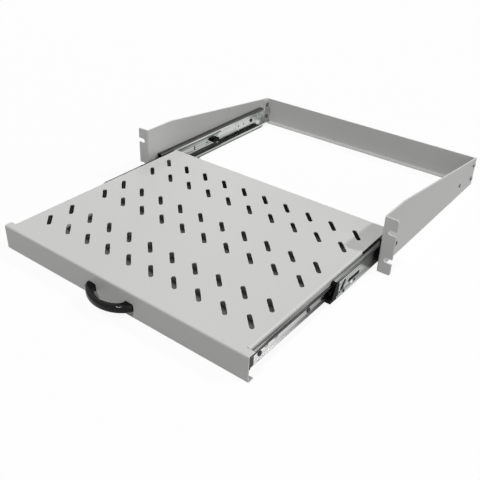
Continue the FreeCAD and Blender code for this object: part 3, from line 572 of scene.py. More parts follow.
@dataclass(frozen=True)
class PowderCoat(MarkedFinish):
    """Baked powder paint: faint orange peel, fine pigment specks and a slightly uneven tone."""

    roughness: float = 0.44
    shine: float = 0.35
    shades: tuple[float, float] = (0.955, 1.045)
    cloud: Grain = Grain(9.0, octaves=3.0, tone=0.7, roughness=0.10)
    speck: Grain = Grain(2600.0, octave_share=0.7, tone=0.9, roughness=0.16)
    peel: Grain = Grain(1 / (1.3 * MM), octave_share=0.45)
    peel_depth: float = 0.09 * MM
    peel_strength: float = 0.35
    rub: Grain = Grain(420.0, octaves=3.0, octave_share=0.6, stretch=0.06)
    scuff: Pairs = ((0.64, 0.0), (0.74, 1.0))
    scuff_polish: float = 0.05
    edge: float = 0.7 * MM
    # Painted highlight along sharp edges: its width, steepness, strength, unevenness and how light it is
    edge_highlight_width: float = 1.8 * MM
    edge_highlight_steepness: float = 4.0
    edge_highlight_share: float = 0.75
    edge_highlight_uneven: float = 0.8
    edge_highlight_shade: float = 1.42

    def sockets(self, nodes: Nodes) -> dict[str, "Signal | float | tuple"]:
        """Colour, gloss and relief of the paint.

        Args:
            nodes: The material's nodes.

        Returns:
            The values and links of the shader's sockets.
        """
        place = nodes.place()
        kinds = (self.cloud, self.speck, self.peel, self.rub)
        cloud, speck, peel, rub = (nodes.grain(place, kind) for kind in kinds)
        tone = NOISE_MIDDLE + cloud.swing(self.cloud.tone) + speck.swing(self.speck.tone)
        rough = self.roughness + cloud.swing(self.cloud.roughness) + speck.swing(self.speck.roughness)
        rough = rough - nodes.ramp(rub, *self.scuff) * self.scuff_polish
        # Painted highlight: the paint's colour is made lighter along sharp edges
        edge_highlight = nodes.sharp_edge_mask(self.edge_highlight_width, self.edge_highlight_steepness)
        edge_highlight = edge_highlight * (self.edge_highlight_share + rub.swing(self.edge_highlight_uneven))
        colour = nodes.toned(tone.clamped(), self.colour, self.shades)
        colour = nodes.mixed(edge_highlight, colour, scaled(self.colour, self.edge_highlight_shade))
        colour, rough = self.marked(nodes, place, rub, colour, rough)
        normal = nodes.soft_edges(self.edge)
        return {
            "Base Color": colour,
            "Roughness": rough,
            "Specular IOR Level": self.shine,
            "Normal": nodes.bumped(peel, self.peel_depth, self.peel_strength, normal),
        }


@dataclass(frozen=True)
class RolledSteel(MarkedFinish):
    """Bright plated strip with long rolling marks and a cloudy plating."""

    roughness: float = 0.20
    shades: tuple[float, float] = (0.86, 1.10)
    cloud: Grain = Grain(34.0, octaves=3.0, tone=0.9, roughness=0.08)
    lines: Grain = Grain(1500.0, octaves=3.0, octave_share=0.6, stretch=0.018, tone=0.8, roughness=0.08)
    rub: Grain = Grain(330.0, stretch=0.03)
    line_depth: float = 0.006 * MM
    line_strength: float = 0.25
    edge: float = 0.35 * MM

    def sockets(self, nodes: Nodes) -> dict[str, "Signal | float | tuple"]:
        """Colour, gloss and relief of the strip.

        Args:
            nodes: The material's nodes.

        Returns:
            The values and links of the shader's sockets.
        """
        place = nodes.place()
        kinds = (self.cloud, self.lines, self.rub)
        cloud, lines, rub = (nodes.grain(place, kind) for kind in kinds)
        tone = NOISE_MIDDLE + cloud.swing(self.cloud.tone) + lines.swing(self.lines.tone)
        rough = self.roughness + cloud.swing(self.cloud.roughness) + lines.swing(self.lines.roughness)
        colour = nodes.toned(tone.clamped(), self.colour, self.shades)
        colour, rough = self.marked(nodes, place, rub, colour, rough)
        normal = nodes.soft_edges(self.edge)
        return {
            "Base Color": colour,
            "Metallic": 1.0,
            "Roughness": rough,
            "Normal": nodes.bumped(lines, self.line_depth, self.line_strength, normal),
        }


@dataclass(frozen=True)
class TurnedSteel(Finish):
    """Plated small parts: fine tumbling marks and darker plating in patches."""

    colour: RGB
    roughness: float
    shades: tuple[float, float] = (0.78, 1.12)
    cloud: Grain = Grain(240.0, octaves=3.0, octave_share=0.6, tone=1.2, roughness=0.14)
    tumbling: Grain = Grain(3200.0, octaves=3.0, octave_share=0.65, tone=0.6, roughness=0.12)
    depth: float = 0.015 * MM
    strength: float = 0.4

    def sockets(self, nodes: Nodes) -> dict[str, "Signal | float | tuple"]:
        """Colour, gloss and relief of the parts.

        Args:
            nodes: The material's nodes.

        Returns:
            The values and links of the shader's sockets.
        """
        place = nodes.place()
        cloud, nicks = (nodes.grain(place, kind) for kind in (self.cloud, self.tumbling))
        tone = NOISE_MIDDLE + cloud.swing(self.cloud.tone) + nicks.swing(self.tumbling.tone)
        rough = self.roughness + cloud.swing(self.cloud.roughness) + nicks.swing(self.tumbling.roughness)
        return {
            "Base Color": nodes.toned(tone.clamped(), self.colour, self.shades),
            "Metallic": 1.0,
            "Roughness": rough,
            "Normal": nodes.bumped(nicks, self.depth, self.strength),
        }


@dataclass(frozen=True)
class MouldedPlastic(Finish):
    """Black moulded plastic: a fine spark texture and a gloss that is dulled in places."""

    colour: RGB
    roughness: float
    shine: float
    spark: Grain
    depth: float
    strength: float = 0.3
    middle: float = 0.35
    shades: tuple[float, float] = (0.7, 1.6)
    cloud: Grain = Grain(60.0, octaves=3.0, tone=0.6, roughness=0.08)
    dust: Grain = Grain(1900.0, tone=0.25, roughness=0.12)
    dust_edges: Pairs = ((0.70, 0.0), (0.80, 1.0))

    def sockets(self, nodes: Nodes) -> dict[str, "Signal | float | tuple"]:
        """Colour, gloss and relief of the moulding.

        Args:
            nodes: The material's nodes.

        Returns:
            The values and links of the shader's sockets.
        """
        place = nodes.place()
        cloud, spark = (nodes.grain(place, kind) for kind in (self.cloud, self.spark))
        dust = nodes.ramp(nodes.grain(place, self.dust), *self.dust_edges)
        tone = self.middle + cloud.swing(self.cloud.tone) + spark.swing(self.spark.tone)
        tone = (tone + dust * self.dust.tone).clamped()
        return {
            "Base Color": nodes.toned(tone, self.colour, self.shades),
            "Roughness": self.roughness + cloud.swing(self.cloud.roughness) + dust * self.dust.roughness,
            "Specular IOR Level": self.shine,
            "Normal": nodes.bumped(spark, self.depth, self.strength),
        }


@dataclass(frozen=True)
class PaperFloor(Finish):
    """White studio paper. It stays white in the picture; under the tray a painted shadow glows.

    Under the tray, painted light patches stand for the light that comes through the deck's slots;
    they, and how covered a point has to be, change from the front to the back; both are stops along Y.
    """

    colour: RGB = (0.90, 0.90, 0.90)
    # dark is the colour of the painted shadow, which glows under the tray
    dark: RGB = (0.15, 0.15, 0.15)
    bounce: RGB = (0.20, 0.20, 0.20)
    shadow_share: float = 0.08
    fibre: Grain = Grain(700.0, octaves=3.0)
    fibre_shades: tuple[float, float] = (0.985, 1.015)
    painted_shadow_across: tuple[float, float] = (-0.221, 0.203)
    painted_shadow_along: tuple[float, float] = (-0.292, 0.345)
    soft: float = 0.010
    cover_reach: float = 0.30
    cover_samples: int = 16
    cover_steepness: float = 9.0
    covered: Pairs = (
        (-0.292, 0.38), (-0.005, 0.38), (0.020, 0.93), (0.104, 0.93), (0.122, 0.30), (0.345, 0.30))
    # Painted light patches under the deck's slots, as stops along Y
    painted_slot_light: Pairs = (
        (-0.235, 0.95), (-0.212, 0.75), (-0.205, 0.08), (-0.192, 0.45), (-0.170, 0.45),
        (-0.163, 0.08), (-0.125, 0.95), (-0.100, 0.60), (-0.094, 0.08), (-0.070, 0.38),
        (-0.056, 0.34), (-0.049, 0.10), (0.005, 0.42), (0.017, 0.30), (0.023, 0.06), (0.110, 0.06))

    def inside(self, value: Signal, low: float, high: float) -> Signal:
        """How far a coordinate is inside a range, from 0 at its ends to 1."""
        middle, half = (low + high) / 2, (high - low) / 2
        return abs(value - middle).rise(half, half - self.soft)

    def along(self, nodes: Nodes, place: Signal, stops: Pairs) -> Signal:
        """A value that changes from the front of the floor to the back.

        Args:
            nodes: The material's nodes.
            place: The point on the floor.
            stops: Places along Y in metres, each with its value.

        Returns:
            The value.
        """
        first, last = stops[0][0], stops[-1][0]
        shares = (((spot - first) / (last - first), value) for spot, value in stops)
        return nodes.ramp(nodes.axis(place, "Y").rise(first, last), *shares)

    def painted_tray_shadow(self, nodes: Nodes, place: Signal) -> Signal:
        """Where the tray covers the floor and its painted shadow lies.

        Args:
            nodes: The material's nodes.
            place: The point on the floor.

        Returns:
            1 under the tray, 0 in the open.
        """
        settings, inputs = {"samples": self.cover_samples}, {"Distance": self.cover_reach}
        openness = nodes.add("ShaderNodeAmbientOcclusion", settings, inputs, "AO")
        covered = (self.along(nodes, place, self.covered) - openness) * self.cover_steepness
        across = self.inside(nodes.axis(place, "X"), *self.painted_shadow_across)
        return across * self.inside(nodes.axis(place, "Y"), *self.painted_shadow_along) * covered.clamped()

    def material(self) -> bpy.types.Material:
        """Makes the paper's material.

        Returns:
            The material.
        """
        made = bpy.data.materials.new(self.name)
        made.use_nodes = True
        nodes = Nodes(made.node_tree)
        place = nodes.place()
        fibre = nodes.toned(nodes.grain(place, self.fibre), self.colour, self.fibre_shades)
        # The painted shadow glows dark grey, lighter in the painted light patches
        light = nodes.mixed(self.along(nodes, place, self.painted_slot_light), BLACK, self.dark)
        pale = nodes.add("ShaderNodeBsdfDiffuse", None, {"Color": fibre})
        grey = nodes.add("ShaderNodeBsdfDiffuse", None, {"Color": (*self.bounce, 1.0)})
        dark = nodes.add("ShaderNodeEmission", None, {"Color": light})
        white = nodes.add("ShaderNodeEmission", None, {"Color": (*WHITE, 1.0)})
        open_floor = nodes.laid(self.shadow_share, white, pale)
        # Where the tray covers the floor, the painted shadow takes the paper's place
        shown = nodes.laid(self.painted_tray_shadow(nodes, place), open_floor, dark)
        surface = nodes.laid(nodes.seen(), grey, shown)
        nodes.add("ShaderNodeOutputMaterial", None, {"Surface": surface})
        return made


PAINT_TONE = (0.600, 0.600, 0.592)
PAINT = PowderCoat("light_grey_powder_coat", Slot.PAINT, PAINT_TONE)
# The tray's paint has a painted shade along its side flanges, just above the slides
TRAY_PAINT = PowderCoat("flange_shaded_powder_coat", Slot.PAINT, PAINT_TONE, (FlangeShade(),))
# The slide strips have random streaks and painted shade: dark lines, a darker span and shaded ball
# tracks
OUTER_ZINC = RolledSteel("zinc_outer_strip", Slot.ZINC, (0.600, 0.620, 0.600), (
    Streaks(0.35),
    BallTrackShadeAndGrease(offset=18.8 * MM, spread=1.3 * MM),
))
MIDDLE_ZINC = RolledSteel("zinc_middle_strip", Slot.ZINC, (0.480, 0.505, 0.485), (
    Streaks(0.70),
    ShadeLine(level=12.8 * MM, half=0.7 * MM, depth=0.75),
    ShadeLine(level=28.4 * MM, half=0.5 * MM, depth=0.45),
    PaintedShadeSpan(start=-62.0 * MM, full=0.0 * MM, thin=15.0 * MM, end=60.0 * MM),
    BallTrackShadeAndGrease(offset=12.9 * MM, spread=0.6 * MM, uneven=2.2),
))
INNER_ZINC = RolledSteel("zinc_inner_strip", Slot.ZINC, (0.840, 0.850, 0.840), (
    Streaks(0.25),
    PaintedShadeSpan(start=-252.0 * MM, full=-118.0 * MM, thin=300.0 * MM, end=400.0 * MM),
    BallTrackShadeAndGrease(offset=0.0 * MM, spread=0.5 * MM, level=28.1 * MM, uneven=3.0),
))
CAGE_STEEL = RolledSteel("thin_cage_strip", Slot.CAGE, (0.16, 0.165, 0.16), roughness=0.34)
BALL_STEEL = TurnedSteel(
    "polished_ball_steel", Slot.BALL, (0.82, 0.83, 0.84), roughness=0.07)
FASTENER_STEEL = TurnedSteel(
    "plated_fastener_steel", Slot.FASTENER, (0.72, 0.73, 0.72), roughness=0.18)
NUT_STEEL = TurnedSteel(
    "bright_nut_steel", Slot.FASTENER, (0.93, 0.94, 0.93), roughness=0.10)
DULL_STEEL = TurnedSteel(
    "dull_screw_steel", Slot.FASTENER, (0.20, 0.20, 0.205), roughness=0.36)
DARK_STEEL = TurnedSteel(
    "blackened_screw_steel", Slot.FASTENER, (0.050, 0.050, 0.052), roughness=0.42)
HANDLE_SPARK = Grain(1 / (0.35 * MM), octave_share=0.6, tone=0.5)
SLIDE_SPARK = Grain(1 / (0.28 * MM), octave_share=0.6, tone=0.5)
HANDLE_BLACK = MouldedPlastic(
    "gloss_black_handle", Slot.HANDLE, (0.0026, 0.0026, 0.0027),
    roughness=0.07, shine=0.18, spark=HANDLE_SPARK, depth=0.002 * MM)
SLIDE_BLACK = MouldedPlastic(
    "matt_black_slide_plastic", Slot.SLIDE_PLASTIC, (0.0040, 0.0040, 0.0042),
    roughness=0.50, shine=0.07, spark=SLIDE_SPARK, depth=0.030 * MM)
CAP_BLACK = MouldedPlastic(
    "satin_black_cap_plastic", Slot.SLIDE_PLASTIC, (0.012, 0.012, 0.0125),
    roughness=0.42, shine=0.30, spark=SLIDE_SPARK, depth=0.030 * MM)
SLIDE_FINISHES: dict[str, Finish] = {
    "outer_slide": OUTER_ZINC, "middle_slide": MIDDLE_ZINC, "inner_slide": INNER_ZINC,
    "outer_cage": CAGE_STEEL, "inner_cage": CAGE_STEEL,
    "front_stop": SLIDE_BLACK, "rear_bumper": SLIDE_BLACK, "slide_cap": CAP_BLACK,
    "release_lever": SLIDE_BLACK, "lever_rivet": FASTENER_STEEL,
}


class Start(Enum):
    """Primitives that pieces are started from."""

    CUBE = "primitive_cube_add"
    GRID = "primitive_grid_add"
    CIRCLE = "primitive_circle_add"
    CYLINDER = "primitive_cylinder_add"


class Pick(Enum):
    """What edit mode picks: its name there, and the open mesh's list of it."""

    POINTS = ("VERT", "verts")
    EDGES = ("EDGE", "edges")
    FACES = ("FACE", "faces")


class Blank:
    """A mesh object on the bench: started from a primitive and shaped by edit-mode operators."""

    def __init__(self, name: str, start: Start, **sizes: object) -> None:
        """Adds the primitive.

        Args:
            name: The object's name.
            start: The primitive.
            sizes: Its sizes and place.
        """
        bpy.ops.object.select_all(action="DESELECT")
        getattr(bpy.ops.mesh, start.value)(**sizes)
        self.thing = bpy.context.object
        self.thing.name = name
        self.thing.data.name = name
        bpy.ops.object.transform_apply(location=True, rotation=True, scale=True)

    def hold(self) -> None:
        """Makes this the one selected and active object."""
        bpy.ops.object.select_all(action="DESELECT")
        self.thing.select_set(True)
        bpy.context.view_layer.objects.active = self.thing

    def edit(self, kind: Pick) -> bmesh.types.BMesh:
        """Opens the mesh with nothing picked.

        Args:
            kind: What will be picked.

        Returns:
            The open mesh.
        """
        if bpy.context.mode != "EDIT_MESH":
            bpy.ops.object.mode_set(mode="EDIT")
        bpy.ops.mesh.select_mode(type=kind.value[0])
        bpy.ops.mesh.select_all(action="DESELECT")
        return bmesh.from_edit_mesh(self.thing.data)

    def pick(self, kind: Pick, wanted: Callable[[Member], bool] = lambda member: True) -> "Blank":
        """Picks the points, edges or faces that pass a test, or all of them.

        Args:
            kind: Which of them are meant.
            wanted: The test.

        Returns:
            This blank.
        """
        mesh = self.edit(kind)
        for member in getattr(mesh, kind.value[1]):
            member.select_set(wanted(member))
        mesh.select_flush_mode()
        bmesh.update_edit_mesh(self.thing.data)
        return self

    def move(self, way: Vector) -> "Blank":
        """Moves what is picked."""
        bpy.ops.transform.translate(value=way)
        return self

    def bevel(self, offset: float, segments: int) -> "Blank":
        """Rounds the picked edges."""
        bpy.ops.mesh.bevel(offset=offset, offset_type="OFFSET", segments=segments, profile=0.5,
                           affect="EDGES", clamp_overlap=True)
        return self

    def inset(self, thickness: float, depth: float) -> "Blank":
        """Draws the rim of the picked faces in, and the faces out by a depth."""
        bpy.ops.mesh.inset(thickness=thickness, depth=depth)
        return self

    def extrude(self, way: Place) -> "Blank":
        """Draws the picked faces out."""
        bpy.ops.mesh.extrude_region_move(TRANSFORM_OT_translate={"value": way})
        return self

    def widen(self, share: float) -> "Blank":
        """Scales what is picked about its middle, in X and Y."""
        bpy.ops.transform.resize(value=(share, share, 1.0))
        return self

    def close(self) -> "Blank":
        """Merges doubles, turns the faces outwards and leaves edit mode.

        Returns:
            This blank.
        """
        self.edit(Pick.POINTS)
        bpy.ops.mesh.select_all(action="SELECT")
        bpy.ops.mesh.remove_doubles(threshold=MERGE_DISTANCE)
        bpy.ops.mesh.normals_make_consistent(inside=False)
        bpy.ops.object.mode_set(mode="OBJECT")
        return self

    def modify(self, kind: str, **settings: object) -> "Blank":
        """Adds a modifier and applies it.

        Args:
            kind: The modifier's type.
            settings: Its settings.

        Returns:
            This blank.
        """
        self.hold()
        modifier = self.thing.modifiers.new(kind.lower(), kind)
        for name, value in settings.items():
            setattr(modifier, name, value)
        bpy.ops.object.modifier_apply(modifier=modifier.name)
        return self

    def cut(self, cutter: "Blank", way: str = "DIFFERENCE") -> "Blank":
        """Cuts this with another blank.

        Args:
            cutter: The other blank, which is used up.
            way: The Boolean modifier's operation.

        Returns:
            This blank.
        """
        self.modify("BOOLEAN", object=cutter.thing, operation=way, solver="EXACT")
        bpy.data.objects.remove(cutter.thing)
        return self

    def smooth(self, degrees: float) -> "Blank":
        """Shades faces smooth where they meet at a small angle.

        Args:
            degrees: The largest such angle.

        Returns:
            This blank.
        """
        self.hold()
        bpy.ops.object.shade_smooth_by_angle(angle=math.radians(degrees))
        return self

    def spread(self, name: str, places: Iterable[Matrix]) -> bpy.types.Object:
        """Sets a copy at each place and joins the copies. The blank itself is used up.

        Args:
            name: The joined object's name.
            places: Where the copies go.

        Returns:
            The joined object.
        """
        copies = []
        for place in places:
            made = self.thing.copy()
            made.data = self.thing.data.copy()
            made.data.transform(place)
            bpy.context.scene.collection.objects.link(made)
            copies.append(made)
        bpy.data.objects.remove(self.thing)
        return joined(name, copies)


def joined(name: str, parts: list[bpy.types.Object]) -> bpy.types.Object:
    """Joins objects into one.

    Args:
        name: Its name.
        parts: The objects, which are used up.

    Returns:
        The joined object.
    """
    bpy.ops.object.select_all(action="DESELECT")
    for part in parts:
        part.select_set(True)
    bpy.context.view_layer.objects.active = parts[0]
    bpy.ops.object.join()
    parts[0].name = name
    parts[0].data.name = name
    return parts[0]


def drum(name: str, radius: float, height: float, sides: int = ROUND_SIDES) -> Blank:
    """A cylinder that stands on the origin.

    Args:
        name: Its name.
        radius: Its radius, to the corners.
        height: Its height.
        sides: How many sides it has.

    Returns:
        The cylinder.
    """
    middle = (0.0, 0.0, height / 2)
    return Blank(name, Start.CYLINDER, vertices=sides, radius=radius, depth=height, location=middle)


def above(level: float) -> Callable[[Member], bool]:
    """A test for edges or faces that lie above a level."""
    return lambda member: all(vertex.co.z > level for vertex in member.verts)


def set_on(thing: bpy.types.Object, body: str, finish: Finish, *nodes: str) -> None:
    """Sets a finished piece on its body, in place of its solids.

    Args:
        thing: The piece.
        body: The body that it rides on.
        finish: Its finish.
        nodes: The solids that it stands for.
    """
    finish.dress(thing)
    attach(thing, body)
    if nodes:
        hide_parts(*nodes)
    LOG.info("%s rides on %s: %d faces", thing.name, body, len(thing.data.polygons))


def turned_to(axis: Vector, place: Vector) -> Matrix:
    """A placement that turns +Z to an axis and moves to a place."""
    turn = Vector((0.0, 0.0, 1.0)).rotation_difference(axis).to_matrix().to_4x4()
    return Matrix.Translation(place) @ turn


def body_of(node: str) -> str:
    """The body that a solid belongs to."""
    return frame["nodes"][node]["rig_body"]


@dataclass
class SheetMetal:
    """The folded sheets: both brackets, the rear panel and the tray."""

    painted: tuple[str, ...] = ("left_bracket", "right_bracket", "rear_panel")
    # The tray gets the paint with the painted shade along its flanges
    flange_shaded: tuple[str, ...] = ("tray",)

    def dress(self) -> None:
        """Paints the sheets."""
        for nodes, paint in ((self.painted, PAINT), (self.flange_shaded, TRAY_PAINT)):
            for node in nodes:
                paint.dress(frame["nodes"][node])
                LOG.info("%s is powder coated", node)


@dataclass
class BowHandle:
    """Moulded bow handle on the front panel."""

    middle: float = -3.25 * MM
    foot: float = -295.65 * MM
    level: float = HANDLE_LEVEL
    height: float = 10.4 * MM
    half: float = 40.75 * MM
    reach: float = 23.3 * MM
    shoulder: float = 12.0 * MM
    inner_half: float = 26.75 * MM
    inner_reach: float = 15.0 * MM
    inner_shoulder: float = 8.0 * MM
    rounding: float = 3.4 * MM
    rounding_steps: int = 6
    rim_angle: float = 1.0
    droop: float = 0.8 * MM
    height_flare: float = 0.20
    width_flare: float = 0.12
    stations: int = 60

    def outline(self, half: float, reach: float, shoulder: float) -> list[Vector]:
        """Places along a bow of three arcs.

        Args:
            half: Half its foot line.
            reach: How far it stands out.
            shoulder: Radius of its end arcs.

        Returns:
            Evenly spaced places in plan, from its left foot to its right one.
        """
        offset = half - shoulder
        wide = (offset ** 2 + reach ** 2 - shoulder ** 2) / (2 * (reach - shoulder))
        meet = math.atan2(reach - wide, offset)
        arcs = [
            (-offset, 0.0, shoulder, -math.pi, -math.pi - meet),
            (0.0, wide - reach, wide, -math.pi - meet, meet),
            (offset, 0.0, shoulder, meet, 0.0),
        ]
        lengths = [abs(end - start) * radius for _, _, radius, start, end in arcs]
        places = []
        for station in range(self.stations + 1):
            along = sum(lengths) * station / self.stations
            for (x, y, radius, start, end), length in zip(arcs, lengths):
                if along <= length + TINY:
                    angle = start + (end - start) * along / length
                    places.append(Vector((x, y)) + radius * Vector((math.cos(angle), math.sin(angle))))
                    break
                along -= length
        return places

    def is_rim(self, edge: bmesh.types.BMEdge) -> bool:
        """Tells the long upper and lower edges from the others.

        Args:
            edge: An edge of the bow before it is rounded.

        Returns:
            True for a long edge.
        """
        flat = abs(edge.verts[0].co.z - edge.verts[1].co.z) < self.height / 2
        at_foot = all(abs(vertex.co.y - self.foot) < TINY for vertex in edge.verts)
        return flat and not at_foot and edge.calc_face_angle(0.0) > self.rim_angle

    def build(self) -> None:
        """Models the bow from a strip that is bent, drawn up, flared at its feet and rounded."""
        strip = 1.0
        blank = Blank(
            "bow_handle", Start.GRID, x_subdivisions=self.stations, y_subdivisions=1, size=strip)
        outer = self.outline(self.half, self.reach, self.shoulder)
        inner = self.outline(self.inner_half, self.inner_reach, self.inner_shoulder)
        low = self.level - self.height / 2
        for vertex in blank.thing.data.vertices:
            station = round((vertex.co.x + strip / 2) / strip * self.stations)
            spot = (outer if vertex.co.y < 0 else inner)[station]
            vertex.co = (self.middle + spot.x, self.foot + spot.y, low)
        blank.pick(Pick.FACES).extrude((0.0, 0.0, self.height)).close()
        for vertex in blank.thing.data.vertices:
            out = min(1.0, (self.foot - vertex.co.y) / self.inner_reach)
            near = (1.0 - out) ** 2
            above_middle = (vertex.co.z - self.level) * (1.0 + self.height_flare * near)
            sag = self.droop * out * out if above_middle < 0 else 0.0
            vertex.co.z = self.level + above_middle - sag
            side = math.copysign(1.0, vertex.co.x - self.middle)
            foot_middle = self.middle + side * (self.half + self.inner_half) / 2
            vertex.co.x += (vertex.co.x - foot_middle) * self.width_flare * near
        blank.pick(Pick.EDGES, self.is_rim).bevel(self.rounding, self.rounding_steps)
        blank.close().smooth(degrees=50.0)
        set_on(blank.thing, "tray", HANDLE_BLACK, "handle")


@dataclass(frozen=True)
class PanScrew:
    """A pan-head screw with a cross recess, along +Z from its tip to its head."""

    length: float
    head_height: float
    head_radius: float = 3.6 * MM
    head_rounding: float = 0.55
    head_steps: int = 5
    recess_width: float = 0.9 * MM
    recess_span: float = 4.0 * MM
    recess_depth: float = 0.6
    shank_radius: float = 2.0 * MM
    shank_sides: int = 20
    pitch: float = 0.7 * MM
    root_share: float = 0.86
    tip_share: float = 0.72

    def blank(self, name: str) -> Blank:
        """Models the screw, with the underside of its head at the origin.

        Args:
            name: Its name.

        Returns:
            The screw.
        """
        top = self.head_height
        head = drum(name, self.head_radius, top)
        head.pick(Pick.EDGES, above(top - TINY)).bevel(top * self.head_rounding, self.head_steps)
        head.close()
        arm_size = (self.recess_width, self.recess_span, 2 * top * self.recess_depth)
        for turn in (0.0, math.pi / 2):
            head.cut(Blank("recess_arm", Start.CUBE, size=1.0, scale=arm_size,
                           rotation=(0.0, 0.0, turn), location=(0.0, 0.0, top)))
        thread = Blank("thread", Start.CIRCLE, vertices=self.shank_sides, radius=self.shank_radius,
                       fill_type="NGON")
        thread.pick(Pick.FACES)
        turns = max(2, round(self.length / self.pitch))
        half_turn = (0.0, 0.0, -self.length / (2 * turns))
        for _ in range(turns):
            thread.extrude(half_turn).widen(self.root_share)
            thread.extrude(half_turn).widen(1 / self.root_share)
        thread.widen(self.tip_share).close()
        head.thing = joined(name, [head.thing, thread.thing])
        return head.smooth(degrees=32.0)


@dataclass(frozen=True)
class HexNut:
    """A chamfered hexagon nut, along +Z."""

    across: float = 7.0 * MM
    height: float = 3.2 * MM
    bore: float = 2.05 * MM
    face_share: float = 0.97
    turning_room: float = 1.01
    turning_sides: int = 48

    def blank(self, name: str) -> Blank:
        """Models the nut, with its seat at the origin.

        Args:
            name: Its name.

        Returns:
            The nut.
        """
        corner = self.across / math.sqrt(3)
        nut = drum(name, corner, self.height, sides=6)
        turning = drum("nut_chamfer", corner * self.turning_room, self.height, self.turning_sides)
        turning.pick(Pick.EDGES, lambda edge: abs(edge.verts[0].co.z - edge.verts[1].co.z) < TINY)
        turning.bevel(corner - self.across / 2 * self.face_share, segments=2).close()
        nut.cut(turning, "INTERSECT")
        right_through = self.height * 3
        nut.cut(Blank("nut_bore", Start.CYLINDER, vertices=ROUND_SIDES, radius=self.bore,
                      depth=right_through, location=(0.0, 0.0, self.height / 2)))
        return nut.smooth(degrees=25.0)


@dataclass
class FastenerSet:
    """Screws or nuts that stand for one solid."""

    node: str
    kind: PanScrew | HexNut
    seats: list[tuple[Vector, Vector]]
    finish: Finish

    def build(self) -> None:
        """Models one and sets a copy at each seat."""
        places = [turned_to(axis, place) for place, axis in self.seats]
        whole = self.kind.blank(f"{self.node}_master").spread(f"{self.node}_turned", places)
        set_on(whole, body_of(self.node), self.finish, self.node)


@dataclass
class Fasteners:
    """All screws and nuts of the frame, the slides and the handle."""

    seat: float = 0.05 * MM
    rear_along: float = 343.0 * MM
    rear_levels: tuple[float, float] = (14.5 * MM, 39.5 * MM)
    rear_sheet: float = 1.5 * MM
    slide_raised: tuple[float, float] = (1.25 * MM, 1.65 * MM)
    inner_along: tuple[float, ...] = (-265.5 * MM, -163.5 * MM, -61.5 * MM)
    inner_web: float = 11.45 * MM
    front_back: float = -294.1 * MM
    handle_across: tuple[float, float] = (-37.0 * MM, 30.5 * MM)
    rear_screw: PanScrew = PanScrew(length=7.85 * MM, head_height=2.2 * MM)
    slide_screw: PanScrew = PanScrew(length=4.25 * MM, head_height=1.6 * MM)
    tray_screw: PanScrew = PanScrew(length=3.8 * MM, head_height=1.0 * MM)
    handle_screw: PanScrew = PanScrew(length=9.5 * MM, head_height=2.2 * MM)
    rear_nut: HexNut = HexNut()

    def build(self) -> None:
        """Models every set."""
        outer = PLATE_OUTER + self.seat
        inside = PLATE_INNER - self.seat * 2 - self.rear_sheet
        web = PLATE_INNER - self.inner_web + self.seat
        rear_screws, rear_nuts, slide_screws, tray_screws = [], [], [], []
        for side in HANDS.values():
            outwards = Vector((side, 0.0, 0.0))
            for level in self.rear_levels:
                rear_screws.append((Vector((side * outer, self.rear_along, level)), outwards))
                rear_nuts.append((Vector((side * inside, self.rear_along, level)), -outwards))
            for along, raised in zip(SLIDE_SCREWS_ALONG, self.slide_raised):
                place = Vector((side * (PLATE_INNER - raised), along, SLIDE_LEVEL))
                slide_screws.append((place, -outwards))
            for along in self.inner_along:
                tray_screws.append((Vector((side * web, along, SLIDE_LEVEL)), outwards))
        handle_along = self.front_back + self.seat
        handle_screws = [
            (Vector((across, handle_along, HANDLE_LEVEL)), Vector((0.0, 1.0, 0.0)))
            for across in self.handle_across
        ]
        for node, kind, seats, finish in (
            ("rear_screws", self.rear_screw, rear_screws, DULL_STEEL),
            ("rear_nuts", self.rear_nut, rear_nuts, DULL_STEEL),
            ("slide_screws", self.slide_screw, slide_screws, DARK_STEEL),
            ("tray_screws", self.tray_screw, tray_screws, DARK_STEEL),
            ("handle_screws", self.handle_screw, handle_screws, FASTENER_STEEL),
        ):
            FastenerSet(node, kind, seats, finish).build()


@dataclass
class BallRows:
    """The upper and lower row of balls in one cage."""

    node: str
    diameter: float
    in_row: int = 5
    divisions: int = 3

    def build(self) -> None:
        """Models one ball and sets a copy at each place of the solid."""
        low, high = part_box(self.node)
        radius = self.diameter / 2
        ball = Blank(f"{self.node}_master", Start.CUBE, size=self.diameter)
        ball.modify("SUBSURF", levels=self.divisions, render_levels=self.divisions)
        ball.modify("CAST", cast_type="SPHERE", factor=1.0, radius=radius,
                    use_radius_as_size=False, size=radius)
        ball.smooth(degrees=180.0)
        step = (high.y - low.y - self.diameter) / (self.in_row - 1)
        across, first = (low.x + high.x) / 2, low.y + radius
        places = [
            Matrix.Translation((across, first + step * number, level))
            for level in (low.z + radius, high.z - radius) for number in range(self.in_row)
        ]
        whole = ball.spread(f"{self.node}_ground", places)
        set_on(whole, body_of(self.node), BALL_STEEL, self.node)


@dataclass(frozen=True)
class Latch:
    """A flat latch piece or rivet head.

    Its two end centres, along Y and up, and its radius are in millimetres.
    """

    name: str
    low: tuple[float, float]
    high: tuple[float, float]
    radius: float
    finish: Finish


